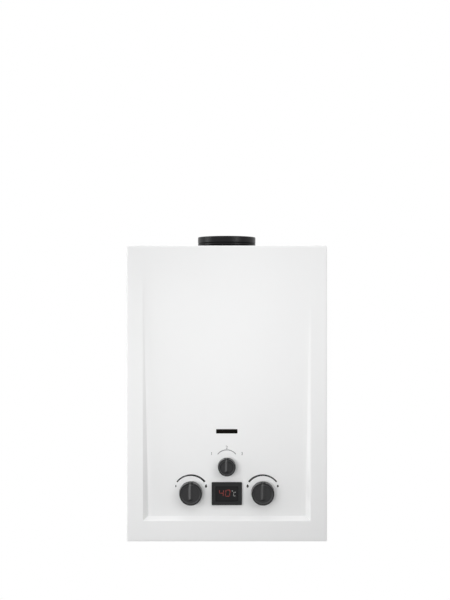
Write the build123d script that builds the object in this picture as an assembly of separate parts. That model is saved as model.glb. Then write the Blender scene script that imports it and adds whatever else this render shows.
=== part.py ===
from build123d import *
import math
import os

os.makedirs("parts", exist_ok=True)

# Heights run up from the casing's bottom edge, the wall is the plane y = 0 and the front faces -y.
# On export everything moves down, so that the origin lies between the two hanging keyholes.

# Casing
CASE_W = 300.0
CASE_H = 442.8
CASE_D = 140.0
SHEET = 1.0
EDGE_R = 1.6
WALL_GAP = 3.0
SEAM = 0.4
LIP = 8.0
SLACK = 2.0
TRAY_D = 20.0
HALF_W = CASE_W / 2
TRAY_HALF = HALF_W - SHEET - SEAM
COVER_SCREW_Y = -11.0
COVER_SCREW_INSET = 60.0
COVER_SCREW_R = 1.9
SCREW_HOLE_GAP = 0.15
SCREW_HEAD_R = 3.6
SCREW_HEAD_H = 2.2
SCREW_LEN = 7.0

# Wall fixing
HANG_DROP = 52.8
HANG_X = 90.0
KEY_R = 6.0
KEY_SLOT_R = 3.0
KEY_RISE = 12.0
LOW_HOLE_R = 3.5
LOW_HOLE_Z = 40.0
BEAD_R = 5.0
BEAD_HALF = 95.0
BEAD_HEIGHTS = (220.0, 330.0)
HANG_Z = CASE_H - HANG_DROP

# Sunken front field: flush at the top, deepest at the foot
FIELD_MARGIN = 24.2
FIELD_FOOT = 30.4
FIELD_DEPTH = 8.0
FIELD_SIDE = 8.0
FIELD_RAMP = 6.0
FIELD_BEND = 2.5
BEND_FLATS = 4
FIELD_HALF = HALF_W - FIELD_MARGIN
FIELD_TOP = CASE_H - EDGE_R
FIELD_FLOOR_Z = FIELD_FOOT + FIELD_RAMP
FIELD_RUN = FIELD_TOP - FIELD_FLOOR_Z
FIELD_TILT = math.atan(FIELD_DEPTH / FIELD_RUN)

# Front controls
KNOB_X = 54.0
KNOB_Z = 71.5
SEASON_Z = 111.0
KNOB_R = 17.5
KNOB_H = 12.0
SEASON_KNOB_R = 13.6
SEASON_KNOB_H = 10.5
KNOB_GAP = 1.5
KNOB_DRAFT = 0.7
KNOB_RIM = 2.2
KNOB_DISH = 1.8
KNOB_DISH_SLOPE = 1.8
KNOB_EDGE_R = 0.7
RIDGE_W = 7.5
RIDGE_CREST = 1.2
RIDGE_NOSE = 0.7
RIDGE_TAIL = 0.55
KNOB_SKIN = 2.0
KNOB_HUB_R = 7.0
KNOB_UNDER = 6.0
SPINDLE_R = 4.0
SPINDLE_FLAT = 1.2
SPINDLE_GRIP = 7.5
SPINDLE_RUN = 0.05
SPINDLE_SHOULDER_R = 6.0
SPINDLE_SHOULDER = 1.5
COVER_HOLE_R = 7.5
BOSS_R = 9.5
BOSS_L = 12.0
STEP_GAP = 0.3

# Temperature display
DISPLAY_Z = 70.6
BEZEL_W = 45.5
BEZEL_H = 34.2
BEZEL_T = 4.5
BEZEL_R = 1.2
BEZEL_FACE = 1.9
GLASS_W = 34.5
GLASS_H = 23.0
SKIRT_WALL = 1.2
SKIRT_L = 12.0
LENS_LAP = 1.1
LENS_T = 1.5
BOARD_T = 1.6
MODULE_W = 30.0
MODULE_H = 18.0
MODULE_T = 7.0
SNAP_T = 2.0
DISPLAY_GAP = 0.2
POCKET_W = GLASS_W + 2 * LENS_LAP
POCKET_H = GLASS_H + 2 * LENS_LAP
SKIRT_W = POCKET_W + 2 * SKIRT_WALL
SKIRT_H = POCKET_H + 2 * SKIRT_WALL

# Flame viewing slot
SLOT_Z = 164.0
SLOT_W = 32.3
SLOT_H = 6.7
SLOT_R = 1.0
PANE_LAP = 6.0
PANE_T = 0.8
PANE_GAP = 0.1
PANE_FRAME = 4.0

# Flue
FLUE_Y = -CASE_D / 2
COLLAR_R = 45.0
COLLAR_WALL = 1.8
COLLAR_RISE = 16.2
COLLAR_RIM_R = 0.7
GROOVE_DEPTH = 0.9
GROOVE_W = 1.6
GROOVE_DROPS = (9.0, 12.6)
COLLAR_FLANGE_R = 53.0
COLLAR_FLANGE_T = 1.2
COLLAR_GAP = 1.0
NOTCH_GAP = 1.5
TONGUE_HALF = 62.0
RIVETS = 4
RIVET_PITCH_R = 49.0
RIVET_R = 1.6
RIVET_HEAD_R = 3.0
RIVET_HEAD_H = 1.4
RIVET_TAIL = 2.0
HOOD_DROP = 13.0
HOOD_H = 77.0
HOOD_SKIRT = 16.0
HOOD_CROWN = 15.0
HOOD_TOP_HALF = 60.0
HOOD_LAP = 4.0
HOOD_DEPTH = 108.0
HOOD_LEDGE = 1.2
HOOD_SLOTS = (-60.0, 0.0, 60.0)
HOOD_SLOT_W = 40.0
HOOD_SLOT_H = 8.0
HOOD_TOP = CASE_H - HOOD_DROP
HOOD_Z = HOOD_TOP - HOOD_H

# Valve train height, shared by the gas and water valves
VALVE_ROOM = 56.0
VALVE_Y = -CASE_D + VALVE_ROOM
VALVE_Z = KNOB_Z
PLATE_Z = SHEET + SEAM + SHEET
PLATE_TOP = PLATE_Z + SHEET
GAS_HALF_D = 22.0
GAS_HALF_H = 23.0
GAS_END = 10.0
GAS_LEFT = -(KNOB_X + GAS_END)
GAS_TOP = VALVE_Z + GAS_HALF_H
GAS_FRONT = VALVE_Y - GAS_HALF_D
GAS_BACK = VALVE_Y + GAS_HALF_D
VALVE_EDGE_R = 3.0
SEASON_HALF_W = 15.0
SEASON_SET = 6.0
SEASON_BACK = VALVE_Y - SEASON_SET
SEASON_D = 26.0
SEASON_TOP = 2 * SEASON_Z - GAS_TOP
SEASON_FRONT = SEASON_BACK - SEASON_D
SEASON_BOSS_L = 7.0

# Burner and heat exchanger
CORE_Y = -CASE_D / 2
SIDE_ROOM = 54.0
FACE_ROOM = 26.0
CORE_HALF_W = HALF_W - SIDE_ROOM
CORE_HALF_D = CASE_D / 2 - FACE_ROOM
FOOT_T = 6.0
FOOT_GAP = 0.5
FRAME_Z = SEASON_TOP + FOOT_T + FOOT_GAP
FRAME_H = 64.0
FRAME_FLANGE = 2.5
FRAME_TOP = FRAME_Z + FRAME_H
FRAME_HALF_W = CORE_HALF_W - FRAME_FLANGE
FRAME_HALF_D = CORE_HALF_D - FRAME_FLANGE
FRAME_FACE = CORE_Y - FRAME_HALF_D
RAIL_W = 6.0
RAIL_T = 2.0
RAIL_INSET = 12.0
BLADES = 9
BLADE_T = 10.0
BLADE_TOP_T = 4.0
BLADE_H = 52.0
BLADE_SHOULDER = 34.0
BLADE_GAP = 0.3
BLADE_PITCH = 2 * (FRAME_HALF_W - BLADE_T) / BLADES
PORTS = 7
PORT_W = 1.6
PORT_D = 5.0
MOUTH_R = 4.0
MOUTH_L = 18.0
JET_RISE = 14.0
JET_Z = FRAME_Z + JET_RISE
JET_R = 3.2
JET_TIP_R = 1.4
JET_L = 6.8
JET_BASE = 3.0
JET_HOLE_R = 5.0
MANIFOLD_T = 12.0
MANIFOLD_HALF_H = 7.0
MANIFOLD_EAR = 8.0
MANIFOLD_BACK = FRAME_FACE - JET_L - STEP_GAP
MANIFOLD_FRONT = MANIFOLD_BACK - MANIFOLD_T
MANIFOLD_R = 2.0
FOOT_HALF_W = 14.0
BRACKET_T = 1.2
BRACKET_RISE = 8.0
BRACKET_H = 40.0
BRACKET_FLANGE = 14.0
BRACKET_REACH = 100.0
CHAMBER_T = 0.8
PIPE_R = 7.0
PIPE_BEND = 14.0
COIL_GAP = 0.3
COIL_STEP = 47.0
COIL_RISE = 6.0
CHAMBER_R = PIPE_BEND - PIPE_R - COIL_GAP
COIL_X = CORE_HALF_W + COIL_GAP + PIPE_R
COIL_Y = CORE_HALF_D + COIL_GAP + PIPE_R
FINS = 18
FIN_T = 0.8
FIN_H = 42.0
FIN_DROP = 4.0
FIN_GAP = 0.3
FIN_INSET = 8.0
TUBE_FIT = 0.05
TUBE_HOLE_GAP = 0.4
PASS_EDGE = 17.0
PASS_PITCH = CORE_HALF_D - PASS_EDGE
PASS_Z = HOOD_Z - FIN_DROP - FIN_H / 2
COIL_EXIT = PASS_Z - 2 * PIPE_BEND
COIL_CLIMB = COIL_EXIT - FRAME_TOP - COIL_RISE
COIL_TURNS = math.ceil(COIL_CLIMB / COIL_STEP)
COIL_PITCH = COIL_CLIMB / (COIL_TURNS + 1 / 4)
BEND_STRAIGHT = 0.1
RETURN_BEND = PASS_PITCH / 2 - BEND_STRAIGHT
RETURN_OUT = 8.0
STUB_OUT = 3.0
HOT_OUT = 7.0
RETURN_X = CORE_HALF_W + RETURN_OUT + RETURN_BEND
STUB_X = CORE_HALF_W + STUB_OUT
RISER_X = STUB_X + PIPE_BEND
HOT_X = -(RISER_X + HOT_OUT)
HOT_Y = CORE_Y + PASS_PITCH

# Pipe unions under the casing
UNION_THREAD_R = 10.48
UNION_DROP = 18.0
UNION_FLANGE_R = 17.0
UNION_FLANGE_T = 3.0
UNION_HEX = 27.0
UNION_HEX_H = 15.6
UNION_BORE_R = 7.0
UNION_BORE_STOP = 4.0
UNION_HOLE_R = 14.0
UNION_TOP = PLATE_TOP + UNION_FLANGE_T + UNION_HEX_H
GAS_PIPE_X = -40.0
COLD_SHIFT = 12.0
COLD_PIPE_X = KNOB_X + COLD_SHIFT
FEED_REACH = 19.0
FEED_Y = GAS_BACK + FEED_REACH
UNIONS = ((HOT_X, HOT_Y), (GAS_PIPE_X, FEED_Y), (COLD_PIPE_X, FEED_Y))

# Gas valve, push rod and water valve, on one line along x
ROD_R = 3.0
ROD_RUN = 0.05
SEAT_X = -8.3
SEAT_GAP = 0.3
CAVITY_R = 12.0
POPPET_R = 9.0
POPPET_T = 3.4
PLUG_FIT = 0.05
PLUG_L = 6.0
PLUG_HEAD_R = 14.0
PLUG_HEAD_T = 4.5
PLUG_STEM_R = 8.0
PLUG_STEM_L = 24.0
SPRING_R = 6.0
SPRING_WIRE = 0.7
SPRING_TURNS = 5
WIRE_SIDES = 8
ROD_COLLAR_R = 6.0
ROD_COLLAR_X = 8.0
ROD_COLLAR_T = 3.0
GUIDE_X = 15.0
COVER_X = 22.0
COVER_T = 10.0
COVER_END = 2.5
COVER_BOSS_R = 7.0
DISC_HOUSING_R = 32.0
DISC_CAVITY_R = 25.0
RUBBER_T = 1.0
PRESS_DISC_R = 21.0
PRESS_DISC_T = 2.0
PRESS_GAP = 0.2
WATER_FLANGE_T = 10.0
WATER_CHAMBER = 7.0
WATER_BODY_L = 55.0
WATER_HALF_D = 20.0
WATER_HALF_H = 21.0
CLAMP_SCREWS = 4
CLAMP_R = 28.5
CLAMP_SCREW_R = 1.6
CLAMP_HEAD_R = 2.8
CLAMP_HEAD_T = 2.0
RUBBER_X = COVER_X + COVER_T
FLANGE_X = RUBBER_X + RUBBER_T
WATER_X = FLANGE_X + WATER_FLANGE_T
WATER_END = WATER_X + WATER_BODY_L
WATER_FRONT = VALVE_Y - WATER_HALF_D
WATER_BACK = VALVE_Y + WATER_HALF_D
POPPET_X = SEAT_X - SEAT_GAP
PRESS_X = RUBBER_X - PRESS_GAP - PRESS_DISC_T
OUTLET_INSET = 8.0
OUTLET_X = WATER_END - OUTLET_INSET
OUTLET_RISE = 8.5
RELIEF_R = 8.0
RELIEF_L = 16.0
RELIEF_CAP_R = 5.0
RELIEF_CAP_L = 5.0
RELIEF_DROP = 10.0
DRAIN_R = 7.0
DRAIN_L = 7.0
DRAIN_CAP_R = 9.0
DRAIN_CAP_L = 6.0
DRAIN_INSET = 16.0

# Flow switch on the push rod
SWITCH_W = 19.0
SWITCH_D = 6.6
SWITCH_H = 12.0
SWITCH_RISE = 4.0
SWITCH_SET = 4.0
SWITCH_FRONT = VALVE_Y - SWITCH_SET
LEVER_T = 0.8
LEVER_D = 4.0
LEVER_GAP = 0.4
LEVER_EYE_R = 2.0
LEVER_PIN_R = 0.8
LEVER_CLEAR = 0.6
EAR_T = 1.0
BRACKET_PLATE = 1.2
SWITCH_FOOT = 17.0
SWITCH_BACK = SWITCH_FRONT + SWITCH_D
SWITCH_Z = GAS_TOP + SWITCH_RISE
PIVOT_X = ROD_COLLAR_X - LEVER_GAP - LEVER_T / 2
PIVOT_Z = SWITCH_Z + LEVER_EYE_R

# Ignition and sensing
ELECTRODES = (-30.0, 30.0)
ELECTRODE_DROP = 8.0
ELECTRODE_Z = FRAME_TOP - ELECTRODE_DROP
CERAMIC_R = 3.5
CERAMIC_FRONT = 12.0
CERAMIC_BACK = 11.0
CERAMIC_COLLAR_R = 4.8
CERAMIC_COLLAR_L = 2.5
CERAMIC_GAP = 0.2
NEEDLE_R = 1.2
NEEDLE_FIT = 0.05
NEEDLE_REACH = 14.0
IGNITER_SIDE = 4.0
IGNITER_D = 44.0
IGNITER_H = 80.0
IGNITER_GAP = 16.0
IGNITER_EDGE_R = 2.0
IGNITER_X = CORE_HALF_W + IGNITER_GAP
IGNITER_Z = SEASON_Z
IGNITER_FRONT = -SHEET - IGNITER_D
LEAD_R = 1.6
LEAD_BEND = 5.0
LEAD_OUT = 5.5
LEAD_STEP = 12.0
LEAD_END_GAP = 0.1
SENSOR_Z = 150.0
SENSOR_L = 12.0
SENSOR_R = 10.0
SENSOR_STUB_R = 3.0
SENSOR_STUB_L = 8.0
CUTOUT_R = 8.0
CUTOUT_T = 7.0
CUTOUT_TAB = 3.0
CUTOUT_TAB_T = 0.8
COIL_SIDE_Z = FRAME_TOP + COIL_RISE + COIL_PITCH * (COIL_TURNS - 3 / 8)
CUTOUT_Z = (COIL_SIDE_Z + PASS_Z) / 2

# Battery compartment, two D cells lying end to end
CELL_R = 16.6
CELL_L = 59.5
CELL_TIP_R = 4.7
CELL_TIP_L = 2.0
CELL_GAP = 0.7
CELL_TOUCH = 0.1
BOX_WALL = 1.8
BOX_SIDE = 4.0
BOX_FRONT_GAP = 4.5
BOX_SEAT = 0.8
CONTACT_T = 0.6
CONTACT_W = 14.0
CONTACT_ROOM = 6.0
LEAF_T = 0.5
LEAF_W = 10.0
LEAF_SPAN = 36.0
DOOR_T = 2.0
DOOR_LAP = 1.2
DOOR_GAP = 0.2
HINGE_R = 2.4
HINGE_PIN_R = 1.2
HINGE_OUT = 4.3
HINGE_DROP = 2.9
KNUCKLE_L = 12.0
KNUCKLE_GAP = 0.4
KNUCKLE_INSET = 10.0
CELL_PITCH = CELL_L + CELL_TIP_L + CELL_TOUCH
BOX_X0 = -HALF_W + BOX_SIDE
BOX_W = 2 * CELL_PITCH + CONTACT_ROOM + CONTACT_T + 2 * BOX_WALL
BOX_X1 = BOX_X0 + BOX_W
BOX_D = 2 * CELL_R + 2 * CELL_GAP + 2 * BOX_WALL
BOX_Y0 = -CASE_D + FIELD_DEPTH + BOX_FRONT_GAP
BOX_Y1 = BOX_Y0 + BOX_D
BOX_TOP = PLATE_TOP + 2 * CELL_R + 2 * CELL_GAP + BOX_WALL
CELL_Y = BOX_Y0 + BOX_D / 2
CELL_Z = PLATE_TOP + CELL_GAP + CELL_R
CELL_END = BOX_X1 - BOX_WALL - CONTACT_T - CELL_TOUCH
DOOR_TOP = PLATE_Z - DOOR_GAP
DOOR_Z = DOOR_TOP - DOOR_T
HINGE_Y = BOX_Y1 + HINGE_OUT
HINGE_Z = PLATE_Z - HINGE_DROP

# Air slots in the bottom plate
AIR_SLOTS = 8
AIR_SLOT_W = 6.0
AIR_SLOT_LEFT = 16.0
AIR_SLOT_RIGHT = 18.0
AIR_SLOT_FRONT = 10.0
AIR_SLOT_BACK = 15.0
PLATE_FRONT = -CASE_D + LIP + SLACK

OVER = 2.0


def block(x, y, z):
    size = [hi - lo for lo, hi in (x, y, z)]
    mid = [(hi + lo) / 2 for lo, hi in (x, y, z)]
    return Pos(*mid) * Box(*size)


def rod_x(r, x, y, z):
    rod = Cylinder(r, x[1] - x[0], align=(Align.CENTER, Align.CENTER, Align.MIN))
    return Pos(x[0], y, z) * Rot(0, 90, 0) * rod


def rod_y(r, y, x, z):
    rod = Cylinder(r, y[1] - y[0], align=(Align.CENTER, Align.CENTER, Align.MIN))
    return Pos(x, y[0], z) * Rot(-90, 0, 0) * rod


def rod_z(r, z, x, y):
    return Pos(x, y, z[0]) * Cylinder(r, z[1] - z[0], align=(Align.CENTER, Align.CENTER, Align.MIN))


def turned(profile):
    return revolve(Plane.XZ * make_face(Polyline(*profile, close=True)), axis=Axis.Z)


def pipe(points, r, bend):
    path = FilletPolyline(*points, radius=bend)
    return sweep(Plane(path @ 0, z_dir=path % 0) * Circle(r), path=path)


def spread(first, last, count):
    return [first + (last - first) * i / (count - 1) for i in range(count)]


def field_y(z):
    return -CASE_D + FIELD_DEPTH * (FIELD_TOP - z) / FIELD_RUN


def panel(z):
    # a plane on the sunken field at height z: x across, y up the slope, z out of the panel
    out = (0, -math.cos(FIELD_TILT), -math.sin(FIELD_TILT))
    return Plane(origin=(0, field_y(z), z), x_dir=(1, 0, 0), z_dir=out)


def slab(plane, w, h, low, high, r=0.0):
    outline = RectangleRounded(w, h, r) if r else Rectangle(w, h)
    return extrude(plane.offset(low) * outline, amount=high - low)


def save(node, shape):
    export_step(shape.moved(Location((0, 0, -HANG_Z))), f"parts/{node}.step")


def group(shapes):
    return Compound(children=[s.solid() for s in shapes])


# Front cover: a pressed sheet with a wedge-shaped field that sinks towards its foot

def bent_wall(run, depth, r):
    # a wall that falls by depth over run, with a bend of narrow flats at each end of it: points as
    # distance in from the wall's edge and distance down from the face
    slope = math.atan2(depth, run)
    back = r * math.tan(slope / 2)
    turns = [slope * (i + 1 / 2) / BEND_FLATS for i in range(BEND_FLATS)]
    flat = 2 * r * math.tan(slope / BEND_FLATS / 2)
    upper = [(-back + flat / 2, 0)]
    for turn in turns:
        x, y = upper[-1]
        upper.append((x + flat * math.cos(turn), y + flat * math.sin(turn)))
    lower = [(run - x, depth - y) for x, y in reversed(upper)]
    return upper + lower


def field_sides(inset):
    # the field with its two side walls, which run out at the top, cut off level below the foot
    side_slope = FIELD_SIDE / FIELD_DEPTH
    half = FIELD_HALF + inset * (math.hypot(1, side_slope) - side_slope)
    face = -CASE_D + inset
    low = FIELD_FOOT - FIELD_RAMP
    share = (FIELD_TOP - low) / FIELD_RUN
    wall = bent_wall(FIELD_SIDE * share, FIELD_DEPTH * share, FIELD_BEND * share)
    right = [(half - x, face + y, low) for x, y in wall]
    left = [(-x, y, z) for x, y, z in right]
    tips = [(half, face, FIELD_TOP), (-half, face, FIELD_TOP)]
    sides = [right + left[::-1], [right[0], left[0], *tips[::-1]], [right[-1], left[-1], *tips[::-1]]]
    for wall, tip in ((right, tips[0]), (left, tips[1])):
        sides += [[a, b, tip] for a, b in zip(wall, wall[1:])]
    return Solid(Shell([Face(Wire.make_polygon(side, close=True)) for side in sides]))


def field_ramp(inset):
    # everything above the ramp at the foot of the field
    foot_slope = FIELD_RAMP / FIELD_DEPTH
    foot = FIELD_FOOT - inset * (math.hypot(1, foot_slope) - foot_slope)
    face = -CASE_D + inset
    wall = bent_wall(FIELD_RAMP, FIELD_DEPTH, FIELD_BEND)
    rim = [(face + y, foot + x) for x, y in wall[:BEND_FLATS + 1]]
    deep = (face + 2 * FIELD_DEPTH, foot + 2 * FIELD_RAMP)
    outline = [*rim, deep, (deep[0], CASE_H), (face - OVER, CASE_H), (face - OVER, rim[0][1])]
    return extrude(Plane.YZ * make_face(Polyline(*outline, close=True)), amount=HALF_W, both=True)


def field_wedge(inset):
    return field_sides(inset) & field_ramp(inset)


def cover_form(inset, back):
    half = HALF_W - inset
    form = block((-half, half), (-CASE_D + inset, back), (inset, CASE_H - inset))
    front = form.faces().sort_by(Axis.Y)[0].edges()
    folds = form.edges().filter_by(Axis.Y)
    form = fillet(list(front) + list(folds), EDGE_R - inset)
    return form - field_wedge(inset)


def flue_notch(r, z):
    return rod_z(r, z, 0, FLUE_Y) + block((-r, r), (FLUE_Y, 0), z)


def make_front_cover():
    cover = cover_form(0, -WALL_GAP) - cover_form(SHEET, 0)
    inner = HALF_W - SHEET
    cover -= block((-inner, inner), (-CASE_D + LIP, 0), (-OVER, SHEET + OVER))
    cover -= flue_notch(COLLAR_R + NOTCH_GAP, (CASE_H - OVER, CASE_H + OVER))
    reach = (-CASE_D - OVER, -CASE_D + FIELD_DEPTH + OVER + SHEET)
    for x, z in ((-KNOB_X, KNOB_Z), (KNOB_X, KNOB_Z), (0, SEASON_Z)):
        cover -= rod_y(COVER_HOLE_R, reach, x, z)
    hole_w = SKIRT_W + 2 * DISPLAY_GAP
    hole_h = SKIRT_H + 2 * DISPLAY_GAP
    cover -= slab(panel(DISPLAY_Z), hole_w, hole_h, -OVER, OVER)
    cover -= slab(panel(SLOT_Z), SLOT_W, SLOT_H, -OVER, OVER, SLOT_R)
    for z in screw_heights():
        hole = COVER_SCREW_R + SCREW_HOLE_GAP
        cover -= rod_x(hole, (-HALF_W - OVER, HALF_W + OVER), COVER_SCREW_Y, z)
    return cover


def screw_heights():
    return (COVER_SCREW_INSET, CASE_H - COVER_SCREW_INSET)


def make_cover_screws():
    screws = []
    for z in screw_heights():
        shank = rod_x(COVER_SCREW_R, (HALF_W - SCREW_LEN, HALF_W), COVER_SCREW_Y, z)
        head = rod_x(SCREW_HEAD_R, (HALF_W, HALF_W + SCREW_HEAD_H), COVER_SCREW_Y, z)
        screw = shank + head
        screws += [screw, mirror(screw, about=Plane.YZ)]
    return group(screws)


# Back plate: a shallow tray inside the cover, with keyholes and a tongue behind the flue

def make_back_plate():
    low = SHEET + SEAM
    high = CASE_H - SHEET - SEAM
    inner = TRAY_HALF - SHEET
    tray = block((-TRAY_HALF, TRAY_HALF), (-TRAY_D, 0), (low, high))
    tray = fillet(tray.edges().filter_by(Axis.Y), EDGE_R - SHEET)
    tray -= block((-inner, inner), (-TRAY_D - OVER, -SHEET), (low + SHEET, high - SHEET))
    tongue = block((-TONGUE_HALF, TONGUE_HALF), (FLUE_Y, -TRAY_D / 2), (high - SHEET, high))
    tray += tongue - rod_z(COLLAR_R + COLLAR_GAP, (high - OVER, high + OVER), 0, FLUE_Y)
    for z in BEAD_HEIGHTS:
        tray = pressed_bead(tray, z)
    through = (-SHEET - OVER, OVER)
    for x in (-HANG_X, HANG_X):
        tray -= rod_y(KEY_R, through, x, HANG_Z)
        slot_top = HANG_Z + KEY_RISE
        tray -= block((x - KEY_SLOT_R, x + KEY_SLOT_R), through, (HANG_Z, slot_top))
        tray -= rod_y(KEY_SLOT_R, through, x, slot_top)
        tray -= rod_y(LOW_HOLE_R, through, x, LOW_HOLE_Z)
    for z in screw_heights():
        hole = COVER_SCREW_R + SCREW_HOLE_GAP
        tray -= rod_x(hole, (-HALF_W, HALF_W), COVER_SCREW_Y, z)
    return tray


def pressed_bead(tray, z):
    def bar(r):
        ends = Sphere(r).moved(Location((-BEAD_HALF, 0, z))) + Sphere(r).moved(Location((BEAD_HALF, 0, z)))
        return ends + rod_x(r, (-BEAD_HALF, BEAD_HALF), 0, z)
    inside = block((-HALF_W, HALF_W), (-TRAY_D, 0), (z - BEAD_R, z + BEAD_R))
    return tray + (bar(BEAD_R) & inside) - bar(BEAD_R - SHEET)


# Bottom plate: air slots, pipe holes, battery opening and the door's hinge lugs

def knuckle_spans():
    # lug, door knuckle, door knuckle, lug along the hinge
    left = BOX_X0 + KNUCKLE_INSET
    right = BOX_X1 - KNUCKLE_INSET
    step = KNUCKLE_L + KNUCKLE_GAP
    lugs = [(left, left + KNUCKLE_L), (right - KNUCKLE_L, right)]
    knuckles = [(left + step, left + step + KNUCKLE_L), (right - step - KNUCKLE_L, right - step)]
    return lugs, knuckles


def make_bottom_plate():
    half = TRAY_HALF - SHEET - SEAM
    plate = block((-half, half), (PLATE_FRONT, -SHEET - SEAM), (PLATE_Z, PLATE_TOP))
    for x, y in UNIONS:
        plate -= rod_z(UNION_HOLE_R, (PLATE_Z - OVER, PLATE_TOP + OVER), x, y)
    edge = BOX_WALL - BOX_SEAT
    mouth_x = (BOX_X0 + edge, BOX_X1 - edge)
    mouth_y = (BOX_Y0 + edge, BOX_Y1 - edge)
    plate -= block(mouth_x, mouth_y, (PLATE_Z - OVER, PLATE_TOP + OVER))
    slot_y = (PLATE_FRONT + AIR_SLOT_FRONT, FEED_Y - UNION_HOLE_R - AIR_SLOT_BACK)
    slot = SlotOverall(slot_y[1] - slot_y[0], AIR_SLOT_W, rotation=90)
    for x in spread(BOX_X1 + AIR_SLOT_LEFT, HALF_W - AIR_SLOT_RIGHT, AIR_SLOTS):
        plate -= extrude(Plane((x, sum(slot_y) / 2, PLATE_Z - OVER)) * slot, amount=SHEET + 2 * OVER)
    for span in knuckle_spans()[0]:
        lug = rod_x(HINGE_R, span, HINGE_Y, HINGE_Z)
        lug += block(span, (HINGE_Y - HINGE_R, HINGE_Y + HINGE_R), (HINGE_Z, PLATE_Z))
        plate += lug - rod_x(HINGE_PIN_R + ROD_RUN, span, HINGE_Y, HINGE_Z)
    return plate


# Flue collar and draft hood

def make_flue_collar():
    top = CASE_H + COLLAR_RISE
    inner = COLLAR_R - COLLAR_WALL
    profile = [(inner, HOOD_TOP), (COLLAR_FLANGE_R, HOOD_TOP)]
    profile += [(COLLAR_FLANGE_R, HOOD_TOP + COLLAR_FLANGE_T), (COLLAR_R, HOOD_TOP + COLLAR_FLANGE_T)]
    for drop in reversed(GROOVE_DROPS):
        z = top - drop
        profile += [(COLLAR_R, z - GROOVE_W), (COLLAR_R - GROOVE_DEPTH, z - GROOVE_W / 2), (COLLAR_R, z)]
    profile += [(COLLAR_R, top), (inner, top)]
    collar = turned(profile)
    collar = fillet(collar.edges().group_by(Axis.Z)[-1], COLLAR_RIM_R)
    collar = Pos(0, FLUE_Y, 0) * collar
    for x, y in rivet_spots():
        collar -= rod_z(RIVET_R + SCREW_HOLE_GAP, (HOOD_TOP - OVER, HOOD_TOP + OVER), x, y)
    return collar


def rivet_spots():
    angles = [math.radians(360 * (i + 0.5) / RIVETS) for i in range(RIVETS)]
    return [(RIVET_PITCH_R * math.cos(a), FLUE_Y + RIVET_PITCH_R * math.sin(a)) for a in angles]


def make_collar_rivets():
    seat = HOOD_TOP + COLLAR_FLANGE_T
    rivets = []
    for x, y in rivet_spots():
        shank = rod_z(RIVET_R, (seat - COLLAR_FLANGE_T - RIVET_TAIL, seat), x, y)
        rivets.append(shank + rod_z(RIVET_HEAD_R, (seat, seat + RIVET_HEAD_H), x, y))
    return group(rivets)


def hood_form(inset):
    base = CORE_HALF_W + HOOD_LAP - inset
    crown = HOOD_TOP_HALF - inset
    low = HOOD_Z + inset
    high = HOOD_TOP - inset
    skirt = HOOD_Z + HOOD_SKIRT
    neck = HOOD_TOP - HOOD_CROWN
    right = [(base, low), (base, skirt), (crown, neck), (crown, high)]
    left = [(-x, z) for x, z in reversed(right)]
    outline = make_face(Polyline(*right, *left, close=True))
    depth = HOOD_DEPTH - 2 * inset
    return extrude(Plane.XZ.offset(-FLUE_Y - depth / 2) * outline, amount=depth)


def make_draft_hood():
    hood = hood_form(0) - hood_form(SHEET)
    open_x = CORE_HALF_W - HOOD_LEDGE
    open_y = CORE_HALF_D - HOOD_LEDGE
    hood -= block((-open_x, open_x), (CORE_Y - open_y, CORE_Y + open_y), (HOOD_Z - OVER, HOOD_Z + OVER))
    hood -= rod_z(COLLAR_R - COLLAR_WALL, (HOOD_TOP - OVER, HOOD_TOP + OVER), 0, FLUE_Y)
    back = FLUE_Y + HOOD_DEPTH / 2
    mid = HOOD_Z + HOOD_SKIRT / 2
    for x in HOOD_SLOTS:
        side = (x - HOOD_SLOT_W / 2, x + HOOD_SLOT_W / 2)
        rise = (mid - HOOD_SLOT_H / 2, mid + HOOD_SLOT_H / 2)
        hood -= block(side, (back - OVER, back + OVER), rise)
    for x, y in rivet_spots():
        hood -= rod_z(RIVET_R + SCREW_HOLE_GAP, (HOOD_TOP - OVER, HOOD_TOP + OVER), x, y)
    return hood


# Heat exchanger: chamber, fins, tube passes and the coil round the chamber

def pass_ys():
    return [CORE_Y + PASS_PITCH * i for i in (-1, 0, 1)]


def make_combustion_chamber():
    shell = slab(Plane((0, CORE_Y, 0)), 2 * CORE_HALF_W, 2 * CORE_HALF_D, FRAME_TOP, HOOD_Z, CHAMBER_R)
    inner_w = 2 * (CORE_HALF_W - CHAMBER_T)
    inner_d = 2 * (CORE_HALF_D - CHAMBER_T)
    inner_r = CHAMBER_R - CHAMBER_T
    shell -= slab(Plane((0, CORE_Y, 0)), inner_w, inner_d, FRAME_TOP - OVER, HOOD_Z + OVER, inner_r)
    for y in pass_ys():
        shell -= rod_x(PIPE_R + TUBE_HOLE_GAP, (-HALF_W, HALF_W), y, PASS_Z)
    return shell


def make_heat_fins():
    half_d = CORE_HALF_D - CHAMBER_T - FIN_GAP
    rise = (PASS_Z - FIN_H / 2, PASS_Z + FIN_H / 2)
    plate = block((-FIN_T / 2, FIN_T / 2), (CORE_Y - half_d, CORE_Y + half_d), rise)
    for y in pass_ys():
        plate -= rod_x(PIPE_R + TUBE_FIT, (-FIN_T, FIN_T), y, PASS_Z)
    reach = CORE_HALF_W - FIN_INSET
    return group([plate.moved(Location((x, 0, 0))) for x in spread(-reach, reach, FINS)])


def make_fin_tubes():
    first, middle, last = pass_ys()
    points = [
        (STUB_X, first, PASS_Z), (-RETURN_X, first, PASS_Z), (-RETURN_X, middle, PASS_Z),
        (RETURN_X, middle, PASS_Z), (RETURN_X, last, PASS_Z), (-STUB_X, last, PASS_Z),
    ]
    return pipe(points, PIPE_R, RETURN_BEND)


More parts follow.
